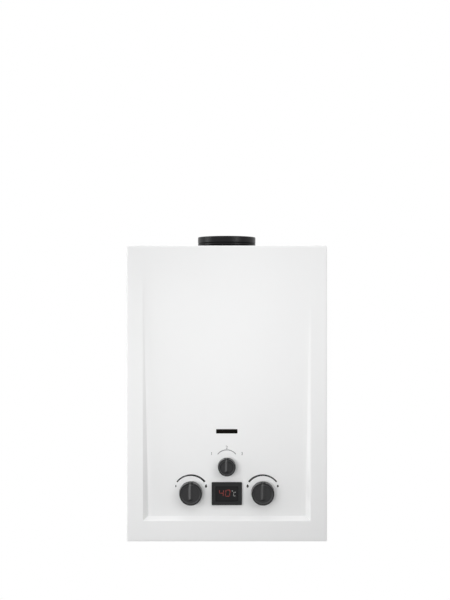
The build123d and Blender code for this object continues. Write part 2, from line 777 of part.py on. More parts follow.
def coil_corners():
    # the corners of each turn, front right first, each a share of the pitch higher than the last
    ring = [(COIL_X, -COIL_Y), (-COIL_X, -COIL_Y), (-COIL_X, COIL_Y), (COIL_X, COIL_Y)]
    z = FRAME_TOP + COIL_RISE
    corners = []
    for turn in range(COIL_TURNS):
        for i, (x, y) in enumerate(ring):
            corners.append((x, CORE_Y + y, z + COIL_PITCH * (turn + (i + 1) / len(ring))))
    return corners


def make_coil_pipe():
    start_z = VALVE_Z + OUTLET_RISE
    riser_y = CORE_Y + COIL_Y - PIPE_BEND
    turn_y = WATER_BACK + 2 * PIPE_BEND
    points = [
        (OUTLET_X, WATER_BACK, start_z), (OUTLET_X, turn_y, start_z),
        (COIL_X, riser_y, start_z + 2 * PIPE_BEND), (COIL_X, riser_y, FRAME_TOP + COIL_RISE),
        *coil_corners(), (RISER_X, pass_ys()[0], COIL_EXIT), (RISER_X, pass_ys()[0], PASS_Z),
        (STUB_X, pass_ys()[0], PASS_Z),
    ]
    return pipe(points, PIPE_R, PIPE_BEND - COIL_GAP)


# Burner, its brackets and the gas manifold

def blade_xs():
    return [BLADE_PITCH * (i - (BLADES - 1) / 2) for i in range(BLADES)]


def make_burner_frame():
    depth = (CORE_Y - FRAME_HALF_D, CORE_Y + FRAME_HALF_D)
    frame = block((-FRAME_HALF_W, FRAME_HALF_W), depth, (FRAME_Z, FRAME_TOP))
    brim = (CORE_Y - CORE_HALF_D, CORE_Y + CORE_HALF_D)
    frame += block((-CORE_HALF_W, CORE_HALF_W), brim, (FRAME_TOP - SHEET, FRAME_TOP))
    inner = FRAME_HALF_W - SHEET
    inner_y = (depth[0] + SHEET, depth[1] - SHEET)
    frame -= block((-inner, inner), inner_y, (FRAME_Z - OVER, FRAME_TOP + OVER))
    for y in (inner_y[0] + RAIL_INSET, inner_y[1] - RAIL_INSET):
        rail_y = (y - RAIL_W / 2, y + RAIL_W / 2)
        frame += block((-FRAME_HALF_W, FRAME_HALF_W), rail_y, (FRAME_Z, FRAME_Z + RAIL_T))
    wall = (depth[0] - OVER, depth[0] + OVER)
    for x in blade_xs():
        frame -= rod_y(JET_HOLE_R, wall, x, JET_Z)
    for x in ELECTRODES:
        frame -= rod_y(CERAMIC_R + CERAMIC_GAP, wall, x, ELECTRODE_Z)
    return frame


def make_burner_blades():
    low = FRAME_Z + RAIL_T
    half = BLADE_T / 2
    tip = BLADE_TOP_T / 2
    outline = [
        (-half, low), (half, low), (half, low + BLADE_SHOULDER),
        (tip, low + BLADE_H), (-tip, low + BLADE_H), (-half, low + BLADE_SHOULDER),
    ]
    reach = FRAME_HALF_D - SHEET - BLADE_GAP
    face = Plane.XZ.offset(-CORE_Y - reach) * make_face(Polyline(*outline, close=True))
    blade = extrude(face, amount=2 * reach)
    for y in spread(-reach, reach, PORTS + 2)[1:-1]:
        cut = (CORE_Y + y - PORT_W / 2, CORE_Y + y + PORT_W / 2)
        blade -= block((-half, half), cut, (low + BLADE_H - PORT_D, low + BLADE_H + OVER))
    blade -= rod_y(MOUTH_R, (CORE_Y - reach - OVER, CORE_Y - reach + MOUTH_L), 0, JET_Z)
    return group([blade.moved(Location((x, 0, 0))) for x in blade_xs()])


def make_burner_brackets():
    rise = (FRAME_Z + BRACKET_RISE, FRAME_Z + BRACKET_RISE + BRACKET_H)
    arm = block((FRAME_HALF_W, FRAME_HALF_W + BRACKET_T), (-BRACKET_REACH, -SHEET), rise)
    foot_x = (FRAME_HALF_W, FRAME_HALF_W + BRACKET_FLANGE)
    bracket = arm + block(foot_x, (-SHEET - BRACKET_T, -SHEET), rise)
    return group([bracket, mirror(bracket, about=Plane.YZ)])


def make_gas_manifold():
    rise = (JET_Z - MANIFOLD_HALF_H, JET_Z + MANIFOLD_HALF_H)
    rail = block((-FRAME_HALF_W, FRAME_HALF_W), (MANIFOLD_FRONT, MANIFOLD_BACK), rise)
    rail = fillet(rail.edges().filter_by(Axis.X), MANIFOLD_R)
    for side in (-1, 1):
        ear = sorted((side * FRAME_HALF_W, side * (FRAME_HALF_W - MANIFOLD_EAR)))
        rail += block(ear, (MANIFOLD_BACK - MANIFOLD_T / 2, FRAME_FACE), rise)
    neck = (SEASON_TOP, JET_Z)
    rail += block((-FOOT_HALF_W, FOOT_HALF_W), (MANIFOLD_FRONT + MANIFOLD_R, MANIFOLD_BACK), neck)
    foot = (SEASON_TOP, SEASON_TOP + FOOT_T)
    rail += block((-FOOT_HALF_W, FOOT_HALF_W), (MANIFOLD_FRONT + MANIFOLD_R, SEASON_BACK), foot)
    return rail


def make_gas_nozzles():
    base = rod_y(JET_R, (MANIFOLD_BACK, MANIFOLD_BACK + JET_BASE), 0, JET_Z)
    tip_l = JET_L - JET_BASE
    tip = Cone(JET_R, JET_TIP_R, tip_l, align=(Align.CENTER, Align.CENTER, Align.MIN))
    jet = base + Pos(0, MANIFOLD_BACK + JET_BASE, JET_Z) * Rot(-90, 0, 0) * tip
    return group([jet.moved(Location((x, 0, 0))) for x in blade_xs()])


# Gas valve, season valve and their spindles

def boss(x, z, face, length):
    return rod_y(BOSS_R, (face - length, face), x, z)


def spindle_bore(x, z, face, back):
    return rod_y(SPINDLE_R + SPINDLE_RUN, (face - OVER, back), x, z)


def make_season_valve():
    body = block((-SEASON_HALF_W, SEASON_HALF_W), (SEASON_FRONT, SEASON_BACK), (GAS_TOP, SEASON_TOP))
    body = fillet(body.edges().filter_by(Axis.Y), VALVE_EDGE_R)
    body += boss(0, SEASON_Z, SEASON_FRONT, SEASON_BOSS_L)
    return body - spindle_bore(0, SEASON_Z, SEASON_FRONT - SEASON_BOSS_L, SEASON_FRONT + SEASON_D / 2)


def make_gas_valve():
    rise = (VALVE_Z - GAS_HALF_H, GAS_TOP)
    body = block((GAS_LEFT, 0), (GAS_FRONT, GAS_BACK), rise)
    body = fillet(body.edges().filter_by(Axis.X), VALVE_EDGE_R)
    body += boss(-KNOB_X, VALVE_Z, GAS_FRONT, BOSS_L)
    body -= spindle_bore(-KNOB_X, VALVE_Z, GAS_FRONT - BOSS_L, VALVE_Y)
    body -= rod_x(CAVITY_R, (GAS_LEFT - OVER, SEAT_X), VALVE_Y, VALVE_Z)
    return body - rod_x(ROD_R + ROD_RUN, (SEAT_X - OVER, OVER), VALVE_Y, VALVE_Z)


def make_gas_valve_plug():
    head = rod_x(PLUG_HEAD_R, (GAS_LEFT - PLUG_HEAD_T, GAS_LEFT), VALVE_Y, VALVE_Z)
    spigot = rod_x(CAVITY_R - PLUG_FIT, (GAS_LEFT, GAS_LEFT + PLUG_L), VALVE_Y, VALVE_Z)
    stem = rod_x(PLUG_STEM_R, (GAS_LEFT, GAS_LEFT + PLUG_STEM_L), VALVE_Y, VALVE_Z)
    return head + spigot + stem


def knob_base(z):
    return field_y(z) - KNOB_GAP


def make_spindle(x, z, face, back):
    tip = knob_base(z) - SPINDLE_GRIP
    shaft = rod_y(SPINDLE_R, (tip, back), x, z)
    flat_top = SPINDLE_R - SPINDLE_FLAT
    flat = (z + flat_top, z + SPINDLE_R + OVER)
    shaft -= block((x - SPINDLE_R, x + SPINDLE_R), (tip - OVER, knob_base(z)), flat)
    shoulder = (face - STEP_GAP - SPINDLE_SHOULDER, face - STEP_GAP)
    return shaft + rod_y(SPINDLE_SHOULDER_R, shoulder, x, z)


# Knobs: a dished face inside a raised rim, crossed by a gabled grip ridge that ends in a pointer nose

def make_knob(x, z, r, height):
    top_r = r - KNOB_DRAFT
    dish_r = top_r - KNOB_RIM
    floor = height - KNOB_DISH
    profile = [
        (0, 0), (r, 0), (top_r, height), (dish_r, height),
        (dish_r - KNOB_DISH_SLOPE, floor), (0, floor),
    ]
    knob = turned(profile)
    knob = fillet(knob.edges().group_by(Axis.Z)[-1], KNOB_EDGE_R)
    crest = height + RIDGE_CREST
    gable = make_face(Polyline((-RIDGE_W / 2, floor), (RIDGE_W / 2, floor), (0, crest), close=True))
    tail = -RIDGE_TAIL * r
    ridge = extrude(Plane.XZ.offset(-r - RIDGE_NOSE) * gable, amount=r + RIDGE_NOSE - tail)
    run_out = make_face(Polyline((tail, floor), (tail, crest), (tail + crest - floor, crest), close=True))
    ridge -= extrude(Plane.YZ.offset(-RIDGE_W / 2) * run_out, amount=RIDGE_W)
    knob += ridge
    hollow = Cylinder(top_r - KNOB_SKIN, KNOB_UNDER, align=(Align.CENTER, Align.CENTER, Align.MIN))
    knob -= hollow - Cylinder(KNOB_HUB_R, KNOB_UNDER, align=(Align.CENTER, Align.CENTER, Align.MIN))
    socket_r = SPINDLE_R + SPINDLE_RUN
    socket = rod_z(socket_r, (0, SPINDLE_GRIP + SPINDLE_RUN), 0, 0)
    flat_top = SPINDLE_R - SPINDLE_FLAT + SPINDLE_RUN
    socket -= block((-r, r), (flat_top, r), (0, height))
    knob -= socket
    return Plane(origin=(x, knob_base(z), z), x_dir=(1, 0, 0), z_dir=(0, -1, 0)) * knob


# Push rod line: poppet, spring, rod and pressing disc between the gas and water valves

def make_gas_poppet():
    return rod_x(POPPET_R, (POPPET_X - POPPET_T, POPPET_X), VALVE_Y, VALVE_Z)


def make_valve_spring():
    first = POPPET_X - POPPET_T - SPRING_WIRE - STEP_GAP
    last = GAS_LEFT + PLUG_STEM_L + SPRING_WIRE + STEP_GAP
    start = (first, VALVE_Y, VALVE_Z)
    return coil_spring(start, (-1, 0, 0), first - last, SPRING_R, SPRING_WIRE, SPRING_TURNS)


def coil_spring(start, direction, length, r, wire, turns):
    # each half turn is one arc, tilted by half the pitch, and the wire is eight-sided
    seat = Plane(start, z_dir=direction)
    step = length / (2 * turns)
    arcs = []
    for i in range(2 * turns):
        side = (-1) ** i
        points = [(side * r, 0, step * i), (0, side * r, step * (i + 1 / 2)), (-side * r, 0, step * (i + 1))]
        arcs.append(ThreePointArc(*points))
    path = seat * Wire(arcs)
    return sweep(Plane(path @ 0, z_dir=path % 0) * RegularPolygon(wire, WIRE_SIDES), path=path)


def make_push_rod():
    rod = rod_x(ROD_R, (POPPET_X, PRESS_X), VALVE_Y, VALVE_Z)
    return rod + rod_x(ROD_COLLAR_R, (ROD_COLLAR_X, ROD_COLLAR_X + ROD_COLLAR_T), VALVE_Y, VALVE_Z)


def make_diaphragm_disc():
    return rod_x(PRESS_DISC_R, (PRESS_X, PRESS_X + PRESS_DISC_T), VALVE_Y, VALVE_Z)


def clamp_spots():
    angles = [math.radians(360 * (i + 0.5) / CLAMP_SCREWS) for i in range(CLAMP_SCREWS)]
    return [(VALVE_Y + CLAMP_R * math.cos(a), VALVE_Z + CLAMP_R * math.sin(a)) for a in angles]


def clamp_holes(x):
    return [rod_x(CLAMP_SCREW_R + SCREW_HOLE_GAP, x, y, z) for y, z in clamp_spots()]


def make_diaphragm_cover():
    cover = rod_x(DISC_HOUSING_R, (COVER_X, RUBBER_X), VALVE_Y, VALVE_Z)
    cover -= rod_x(DISC_CAVITY_R, (COVER_X + COVER_END, RUBBER_X + OVER), VALVE_Y, VALVE_Z)
    cover += rod_x(COVER_BOSS_R, (GUIDE_X, COVER_X), VALVE_Y, VALVE_Z)
    cover -= rod_x(ROD_R + ROD_RUN, (GUIDE_X - OVER, RUBBER_X), VALVE_Y, VALVE_Z)
    return cover - clamp_holes((COVER_X - OVER, RUBBER_X + OVER))


def make_diaphragm():
    disc = rod_x(DISC_HOUSING_R, (RUBBER_X, FLANGE_X), VALVE_Y, VALVE_Z)
    return disc - clamp_holes((RUBBER_X - OVER, FLANGE_X + OVER))


def make_water_valve():
    flange = rod_x(DISC_HOUSING_R, (FLANGE_X, WATER_X), VALVE_Y, VALVE_Z)
    rise = (VALVE_Z - WATER_HALF_H, VALVE_Z + WATER_HALF_H)
    body = block((WATER_X, WATER_END), (WATER_FRONT, WATER_BACK), rise)
    body = fillet(body.edges().filter_by(Axis.X), VALVE_EDGE_R)
    body += flange
    body += boss(KNOB_X, VALVE_Z, WATER_FRONT, BOSS_L)
    body -= spindle_bore(KNOB_X, VALVE_Z, WATER_FRONT - BOSS_L, VALVE_Y - BOSS_R)
    body -= rod_x(DISC_CAVITY_R, (FLANGE_X - OVER, FLANGE_X + WATER_CHAMBER), VALVE_Y, VALVE_Z)
    return body - clamp_holes((FLANGE_X - OVER, WATER_X - OVER))


def make_clamp_screws():
    screws = []
    for y, z in clamp_spots():
        shank = rod_x(CLAMP_SCREW_R, (COVER_X, WATER_X - OVER - STEP_GAP), y, z)
        screws.append(shank + rod_x(CLAMP_HEAD_R, (COVER_X - CLAMP_HEAD_T, COVER_X), y, z))
    return group(screws)


def make_relief_valve():
    z = VALVE_Z - RELIEF_DROP
    body = rod_x(RELIEF_R, (WATER_END, WATER_END + RELIEF_L), VALVE_Y, z)
    tip = WATER_END + RELIEF_L
    return body + rod_x(RELIEF_CAP_R, (tip, tip + RELIEF_CAP_L), VALVE_Y, z)


def make_drain_plug():
    x = WATER_END - DRAIN_INSET
    low = VALVE_Z - WATER_HALF_H
    neck = rod_z(DRAIN_R, (low - DRAIN_L, low), x, VALVE_Y)
    return neck + rod_z(DRAIN_CAP_R, (low - DRAIN_L - DRAIN_CAP_L, low - DRAIN_L), x, VALVE_Y)


# Flow switch that the push rod's collar works through a lever

def make_microswitch():
    right = PIVOT_X - LEVER_EYE_R - STEP_GAP
    depth = (SWITCH_FRONT, SWITCH_BACK)
    body = block((right - SWITCH_W, right), depth, (SWITCH_Z, SWITCH_Z + SWITCH_H))
    ear_x = (right, PIVOT_X + LEVER_EYE_R)
    ear_z = (SWITCH_Z, PIVOT_Z + LEVER_EYE_R)
    body += block(ear_x, (SWITCH_FRONT, SWITCH_FRONT + EAR_T), ear_z)
    body += block(ear_x, (SWITCH_BACK - EAR_T, SWITCH_BACK), ear_z)
    return body + rod_y(LEVER_PIN_R, depth, PIVOT_X, PIVOT_Z)


def make_switch_lever():
    mid = (SWITCH_FRONT + SWITCH_BACK) / 2
    depth = (mid - LEVER_D / 2, mid + LEVER_D / 2)
    low = VALVE_Z + ROD_R + LEVER_CLEAR
    lever = block((PIVOT_X - LEVER_T / 2, PIVOT_X + LEVER_T / 2), depth, (low, PIVOT_Z))
    lever += rod_y(LEVER_EYE_R, depth, PIVOT_X, PIVOT_Z)
    return lever - rod_y(LEVER_PIN_R + ROD_RUN, depth, PIVOT_X, PIVOT_Z)


def make_switch_bracket():
    right = -STEP_GAP
    left = right - 2 * SWITCH_FOOT
    web = block((left, right), (SWITCH_BACK, SWITCH_BACK + BRACKET_PLATE), (GAS_TOP, SWITCH_Z + SWITCH_H))
    foot = block((left, left + SWITCH_FOOT), (SWITCH_FRONT, SWITCH_BACK), (GAS_TOP, GAS_TOP + BRACKET_PLATE))
    return web + foot


# Pipes and unions

def make_feed_pipe(x, back):
    points = [(x, FEED_Y, UNION_TOP), (x, FEED_Y, VALVE_Z), (x, back, VALVE_Z)]
    return pipe(points, PIPE_R, PIPE_BEND - COIL_GAP)


def make_feed_pipes():
    return group([make_feed_pipe(GAS_PIPE_X, GAS_BACK), make_feed_pipe(COLD_PIPE_X, WATER_BACK)])


def make_hot_pipe():
    points = [(-STUB_X, HOT_Y, PASS_Z), (HOT_X, HOT_Y, PASS_Z), (HOT_X, HOT_Y, UNION_TOP)]
    return pipe(points, PIPE_R, PIPE_BEND)


def make_pipe_union():
    union = rod_z(UNION_THREAD_R, (-UNION_DROP, PLATE_TOP), 0, 0)
    hex_z = PLATE_TOP + UNION_FLANGE_T
    union += rod_z(UNION_FLANGE_R, (PLATE_TOP, hex_z), 0, 0)
    nut = RegularPolygon(UNION_HEX / 2, 6, major_radius=False)
    union += extrude(Plane((0, 0, hex_z)) * nut, amount=UNION_HEX_H)
    return union - rod_z(UNION_BORE_R, (-UNION_DROP - OVER, UNION_TOP - UNION_BORE_STOP), 0, 0)


def make_pipe_unions():
    union = make_pipe_union()
    return group([union.moved(Location((x, y, 0))) for x, y in UNIONS])


def make_temperature_sensor():
    rise = (SENSOR_Z, SENSOR_Z + SENSOR_L)
    clip = rod_z(SENSOR_R, rise, HOT_X, HOT_Y)
    stub = (HOT_X - SENSOR_R - SENSOR_STUB_L, HOT_X - PIPE_R)
    clip += rod_x(SENSOR_STUB_R, stub, HOT_Y, SENSOR_Z + SENSOR_L / 2)
    return clip - rod_z(PIPE_R + TUBE_FIT, (SENSOR_Z - OVER, SENSOR_Z + SENSOR_L + OVER), HOT_X, HOT_Y)


def make_thermal_cutout():
    disc = rod_x(CUTOUT_R, (-CORE_HALF_W - CUTOUT_T, -CORE_HALF_W), CORE_Y, CUTOUT_Z)
    out = (-CORE_HALF_W - CUTOUT_T - CUTOUT_TAB, -CORE_HALF_W - CUTOUT_T)
    rise = (CUTOUT_Z - CUTOUT_TAB, CUTOUT_Z + CUTOUT_TAB)
    for side in (-1, 1):
        y = CORE_Y + side * CUTOUT_R / 2
        disc += block(out, (y - CUTOUT_TAB_T / 2, y + CUTOUT_TAB_T / 2), rise)
    return disc


# Ignition: electrodes through the burner's front wall, igniter box and its leads

def make_electrode_insulators():
    tube = rod_y(CERAMIC_R, (FRAME_FACE - CERAMIC_FRONT, FRAME_FACE + CERAMIC_BACK), 0, ELECTRODE_Z)
    tube += rod_y(CERAMIC_COLLAR_R, (FRAME_FACE - CERAMIC_COLLAR_L, FRAME_FACE), 0, ELECTRODE_Z)
    tube -= rod_y(NEEDLE_R + NEEDLE_FIT, (-CASE_D, 0), 0, ELECTRODE_Z)
    return group([tube.moved(Location((x, 0, 0))) for x in ELECTRODES])


def make_electrode_rods():
    reach = (FRAME_FACE - CERAMIC_FRONT, FRAME_FACE + CERAMIC_BACK + NEEDLE_REACH)
    needle = rod_y(NEEDLE_R, reach, 0, ELECTRODE_Z)
    return group([needle.moved(Location((x, 0, 0))) for x in ELECTRODES])


def make_igniter_box():
    rise = (IGNITER_Z, IGNITER_Z + IGNITER_H)
    box = block((IGNITER_X, HALF_W - IGNITER_SIDE), (IGNITER_FRONT, -SHEET), rise)
    return fillet(box.edges().filter_by(Axis.Y), IGNITER_EDGE_R)


def ignition_lead(x, drop, side):
    start_y = FRAME_FACE - CERAMIC_FRONT - LEAD_END_GAP
    run_y = start_y - LEAD_OUT
    end_x = IGNITER_X + LEAD_STEP + side
    low = ELECTRODE_Z - drop
    points = [(x, start_y, ELECTRODE_Z), (x, run_y, ELECTRODE_Z)]
    if drop:
        points.append((x + 2 * LEAD_STEP, run_y, low))
    points += [(end_x, run_y, low), (end_x, IGNITER_FRONT - LEAD_END_GAP, low - LEAD_STEP / 2)]
    return pipe(points, LEAD_R, LEAD_BEND)


def display_lead():
    y = field_y(DISPLAY_Z) + SKIRT_L
    x = IGNITER_X + LEAD_STEP
    low = BOX_TOP + LEAD_STEP / 2
    back = IGNITER_FRONT + LEAD_STEP
    points = [
        (0, y, DISPLAY_Z - LEAD_STEP / 2), (0, y + LEAD_STEP / 2, DISPLAY_Z - LEAD_STEP / 2),
        (0, y + LEAD_STEP, low), (x, y + LEAD_STEP, low), (x, back, low),
        (x, back, IGNITER_Z - LEAD_END_GAP),
    ]
    return pipe(points, LEAD_R, LEAD_BEND / 2)


def switch_lead():
    x = PIVOT_X - SWITCH_W / 2
    z = SWITCH_Z + SWITCH_H
    y = (SWITCH_FRONT + SWITCH_BACK) / 2
    back = IGNITER_FRONT + 2 * LEAD_R
    high = z + LEAD_STEP
    points = [(x, y, z + LEAD_END_GAP), (x, y, high), (x, back, high), (IGNITER_X - LEAD_END_GAP, back, high)]
    return pipe(points, LEAD_R, LEAD_BEND)


def battery_lead():
    x = BOX_X0 + 4 * LEAD_STEP
    back = IGNITER_FRONT + 2 * LEAD_R
    high = SWITCH_Z + SWITCH_H + LEAD_STEP + 4 * LEAD_R
    points = [
        (x, CELL_Y, BOX_TOP + LEAD_END_GAP), (x, CELL_Y, high), (x, back, high),
        (IGNITER_X - LEAD_END_GAP, back, high),
    ]
    return pipe(points, LEAD_R, LEAD_BEND)


def make_inner_leads():
    first, second = ELECTRODES
    sparks = [ignition_lead(second, 0, 0), ignition_lead(first, LEAD_STEP, LEAD_STEP / 2)]
    return group(sparks + [display_lead(), switch_lead(), battery_lead()])


# Battery compartment

def make_battery_box():
    box = block((BOX_X0, BOX_X1), (BOX_Y0, BOX_Y1), (PLATE_TOP, BOX_TOP))
    inner_x = (BOX_X0 + BOX_WALL, BOX_X1 - BOX_WALL)
    inner_y = (BOX_Y0 + BOX_WALL, BOX_Y1 - BOX_WALL)
    return box - block(inner_x, inner_y, (PLATE_TOP - OVER, BOX_TOP - BOX_WALL))


def make_battery_cells():
    cells = []
    for end in (CELL_END - CELL_PITCH, CELL_END):
        shoulder = end - CELL_TIP_L
        can = rod_x(CELL_R, (shoulder - CELL_L, shoulder), CELL_Y, CELL_Z)
        cells.append(can + rod_x(CELL_TIP_R, (shoulder, end), CELL_Y, CELL_Z))
    return group(cells)


def bowed_strip(plane, span, rise, width):
    # a strip bowed out of the plane along its x, as thick as a leaf spring
    bow = trace(ThreePointArc((-span / 2, 0), (0, rise), (span / 2, 0)), LEAF_T)
    return extrude(plane * bow, amount=width / 2, both=True)


def make_battery_contacts():
    side = CONTACT_W / 2
    strip_y = (CELL_Y - side, CELL_Y + side)
    rise = (CELL_Z - side, CELL_Z + side)
    left = BOX_X0 + BOX_WALL
    right = BOX_X1 - BOX_WALL
    button = block((right - CONTACT_T, right), strip_y, rise)
    plate = block((left, left + CONTACT_T), strip_y, rise)
    seat = Plane((left + CONTACT_T / 2, CELL_Y, CELL_Z), x_dir=(0, 0, 1), z_dir=(0, 1, 0))
    gap_end = CELL_END - 2 * CELL_PITCH
    bulge = gap_end - left - CONTACT_T / 2 - LEAF_T / 2
    spring = plate + bowed_strip(seat, CONTACT_W - 2 * LEAF_T, bulge, LEAF_W)
    return group([button, spring])


def make_battery_door():
    door_x = (BOX_X0 - DOOR_LAP, BOX_X1 + DOOR_LAP)
    door = block(door_x, (BOX_Y0 - DOOR_LAP, BOX_Y1 + DOOR_LAP), (DOOR_Z, DOOR_TOP))
    for span in knuckle_spans()[1]:
        door += rod_x(HINGE_R, span, HINGE_Y, HINGE_Z)
        door += block(span, (BOX_Y1, HINGE_Y), (DOOR_Z, HINGE_Z + HINGE_R))
        door -= rod_x(HINGE_PIN_R + ROD_RUN, span, HINGE_Y, HINGE_Z)
    return door


def make_door_pin():
    left, right = knuckle_spans()[0]
    return rod_x(HINGE_PIN_R, (left[0], right[1]), HINGE_Y, HINGE_Z)


def make_door_springs():
    # two bowed leaves on the door that press the cells up
    foot = DOOR_TOP + LEAF_T / 2
    rise = CELL_Z - CELL_R - CELL_TOUCH - LEAF_T / 2 - foot
    leaves = []
    for end in (CELL_END - CELL_PITCH, CELL_END):
        seat = Plane((end - CELL_PITCH / 2, CELL_Y, foot), x_dir=(1, 0, 0), z_dir=(0, -1, 0))
        leaves.append(bowed_strip(seat, LEAF_SPAN, rise, LEAF_W))
    return group(leaves)


# Temperature display, built square to the sloping field

def make_display_bezel():
    face = panel(DISPLAY_Z)
    bezel = slab(face, BEZEL_W, BEZEL_H, 0, BEZEL_T, BEZEL_R)
    bezel = chamfer(bezel.faces().sort_by(Axis.Y)[0].edges(), BEZEL_FACE / 2)
    bezel += slab(face, SKIRT_W, SKIRT_H, -SKIRT_L, 0)
    bezel -= slab(face, POCKET_W, POCKET_H, -SKIRT_L - OVER, BEZEL_T - BEZEL_FACE)
    bezel -= slab(face, GLASS_W, GLASS_H, 0, BEZEL_T + OVER)
    snap = -SHEET - DISPLAY_GAP
    tab = slab(face, SKIRT_W + 2 * SKIRT_WALL, SNAP_T, snap - SNAP_T, snap)
    return bezel + (tab - slab(face, SKIRT_W, SKIRT_H, -SKIRT_L, 0))


def lens_back():
    return BEZEL_T - BEZEL_FACE - DISPLAY_GAP - LENS_T


def make_display_lens():
    w = POCKET_W - 2 * DISPLAY_GAP
    h = POCKET_H - 2 * DISPLAY_GAP
    return slab(panel(DISPLAY_Z), w, h, lens_back(), lens_back() + LENS_T)


def make_display_board():
    face = panel(DISPLAY_Z)
    module_top = lens_back() - DISPLAY_GAP
    board_top = module_top - MODULE_T
    module = slab(face, MODULE_W, MODULE_H, board_top, module_top)
    w = POCKET_W - 2 * DISPLAY_GAP
    h = POCKET_H - 2 * DISPLAY_GAP
    board = slab(face, w, h, board_top - BOARD_T, board_top)
    return group([board, module])


# Mica pane behind the viewing slot, in a frame on the cover's inside

def make_flame_window():
    high = -SHEET - PANE_GAP
    return slab(panel(SLOT_Z), SLOT_W + 2 * PANE_LAP, SLOT_H + PANE_LAP, high - PANE_T, high)


def make_window_frame():
    face = panel(SLOT_Z)
    pane_w = SLOT_W + 2 * PANE_LAP + 2 * PANE_GAP
    pane_h = SLOT_H + PANE_LAP + 2 * PANE_GAP
    pocket = -SHEET - PANE_T - 2 * PANE_GAP
    outer_w = pane_w + 2 * PANE_FRAME
    frame = slab(face, outer_w, pane_h + 2 * PANE_FRAME, pocket - SHEET, -SHEET)
    frame -= slab(face, pane_w, pane_h, pocket, OVER)
    return frame - slab(face, SLOT_W + PANE_FRAME, SLOT_H + PANE_FRAME / 2, pocket - SHEET - OVER, OVER)


save("front_cover", make_front_cover())
save("cover_screws", make_cover_screws())
save("back_plate", make_back_plate())
save("bottom_plate", make_bottom_plate())
save("flue_collar", make_flue_collar())
save("collar_rivets", make_collar_rivets())
save("draft_hood", make_draft_hood())
save("combustion_chamber", make_combustion_chamber())
save("heat_fins", make_heat_fins())
save("fin_tubes", make_fin_tubes())
save("coil_pipe", make_coil_pipe())
save("burner_frame", make_burner_frame())
save("burner_blades", make_burner_blades())
save("burner_brackets", make_burner_brackets())
save("gas_manifold", make_gas_manifold())
save("gas_nozzles", make_gas_nozzles())
save("season_valve", make_season_valve())
save("gas_valve", make_gas_valve())
save("gas_valve_plug", make_gas_valve_plug())
save("gas_spindle", make_spindle(-KNOB_X, KNOB_Z, GAS_FRONT - BOSS_L, VALVE_Y - CAVITY_R - STEP_GAP))
save("water_spindle", make_spindle(KNOB_X, KNOB_Z, WATER_FRONT - BOSS_L, VALVE_Y - BOSS_R - STEP_GAP))
save("season_spindle", make_spindle(0, SEASON_Z, SEASON_FRONT - SEASON_BOSS_L, SEASON_FRONT))
save("gas_knob", make_knob(-KNOB_X, KNOB_Z, KNOB_R, KNOB_H))
save("water_knob", make_knob(KNOB_X, KNOB_Z, KNOB_R, KNOB_H))
save("season_knob", make_knob(0, SEASON_Z, SEASON_KNOB_R, SEASON_KNOB_H))
save("gas_poppet", make_gas_poppet())
save("valve_spring", make_valve_spring())
save("push_rod", make_push_rod())
save("diaphragm_disc", make_diaphragm_disc())
save("diaphragm_cover", make_diaphragm_cover())
save("diaphragm", make_diaphragm())
save("clamp_screws", make_clamp_screws())
save("water_valve", make_water_valve())
save("relief_valve", make_relief_valve())
save("drain_plug", make_drain_plug())
save("microswitch", make_microswitch())
save("switch_lever", make_switch_lever())
save("switch_bracket", make_switch_bracket())
save("feed_pipes", make_feed_pipes())
save("hot_pipe", make_hot_pipe())
save("pipe_unions", make_pipe_unions())
save("temperature_sensor", make_temperature_sensor())
save("thermal_cutout", make_thermal_cutout())
save("electrode_insulators", make_electrode_insulators())
save("electrode_rods", make_electrode_rods())
save("igniter_box", make_igniter_box())
save("inner_leads", make_inner_leads())
save("battery_box", make_battery_box())
save("battery_cells", make_battery_cells())
save("battery_contacts", make_battery_contacts())
save("battery_door", make_battery_door())
save("door_pin", make_door_pin())
save("door_springs", make_door_springs())
save("display_bezel", make_display_bezel())
save("display_lens", make_display_lens())
save("display_board", make_display_board())
save("flame_window", make_flame_window())
save("window_frame", make_window_frame())
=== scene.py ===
import math

import bmesh
import bpy
from mathutils import Matrix, Vector


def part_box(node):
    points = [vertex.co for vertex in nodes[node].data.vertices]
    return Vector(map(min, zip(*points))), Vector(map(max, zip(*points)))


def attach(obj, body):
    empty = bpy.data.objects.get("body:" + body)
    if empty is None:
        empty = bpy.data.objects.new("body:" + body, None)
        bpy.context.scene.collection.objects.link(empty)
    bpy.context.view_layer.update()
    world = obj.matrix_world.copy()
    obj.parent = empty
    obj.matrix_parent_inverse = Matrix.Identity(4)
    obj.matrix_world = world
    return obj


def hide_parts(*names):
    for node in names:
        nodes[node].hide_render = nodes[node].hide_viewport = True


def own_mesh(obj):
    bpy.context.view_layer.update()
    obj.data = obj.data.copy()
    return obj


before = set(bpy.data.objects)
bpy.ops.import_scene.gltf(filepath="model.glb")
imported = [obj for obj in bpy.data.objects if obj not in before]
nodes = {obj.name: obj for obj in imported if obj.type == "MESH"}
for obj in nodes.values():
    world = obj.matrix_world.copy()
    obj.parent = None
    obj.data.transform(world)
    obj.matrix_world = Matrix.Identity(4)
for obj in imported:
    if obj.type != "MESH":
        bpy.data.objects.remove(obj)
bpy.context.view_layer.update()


# Back plate
# The tray that hangs on the wall, folded from galvanised steel sheet with pressed beads and keyholes.
# The zinc coat shows its crystals as a pale spangle about 12 mm across.

def new_finish(name, **sockets):
    finish = bpy.data.materials.new(name)
    finish.use_nodes = True
    shader = finish.node_tree.nodes["Principled BSDF"]
    for socket, value in sockets.items():
        shader.inputs[socket.replace("_", " ")].default_value = value
    return finish


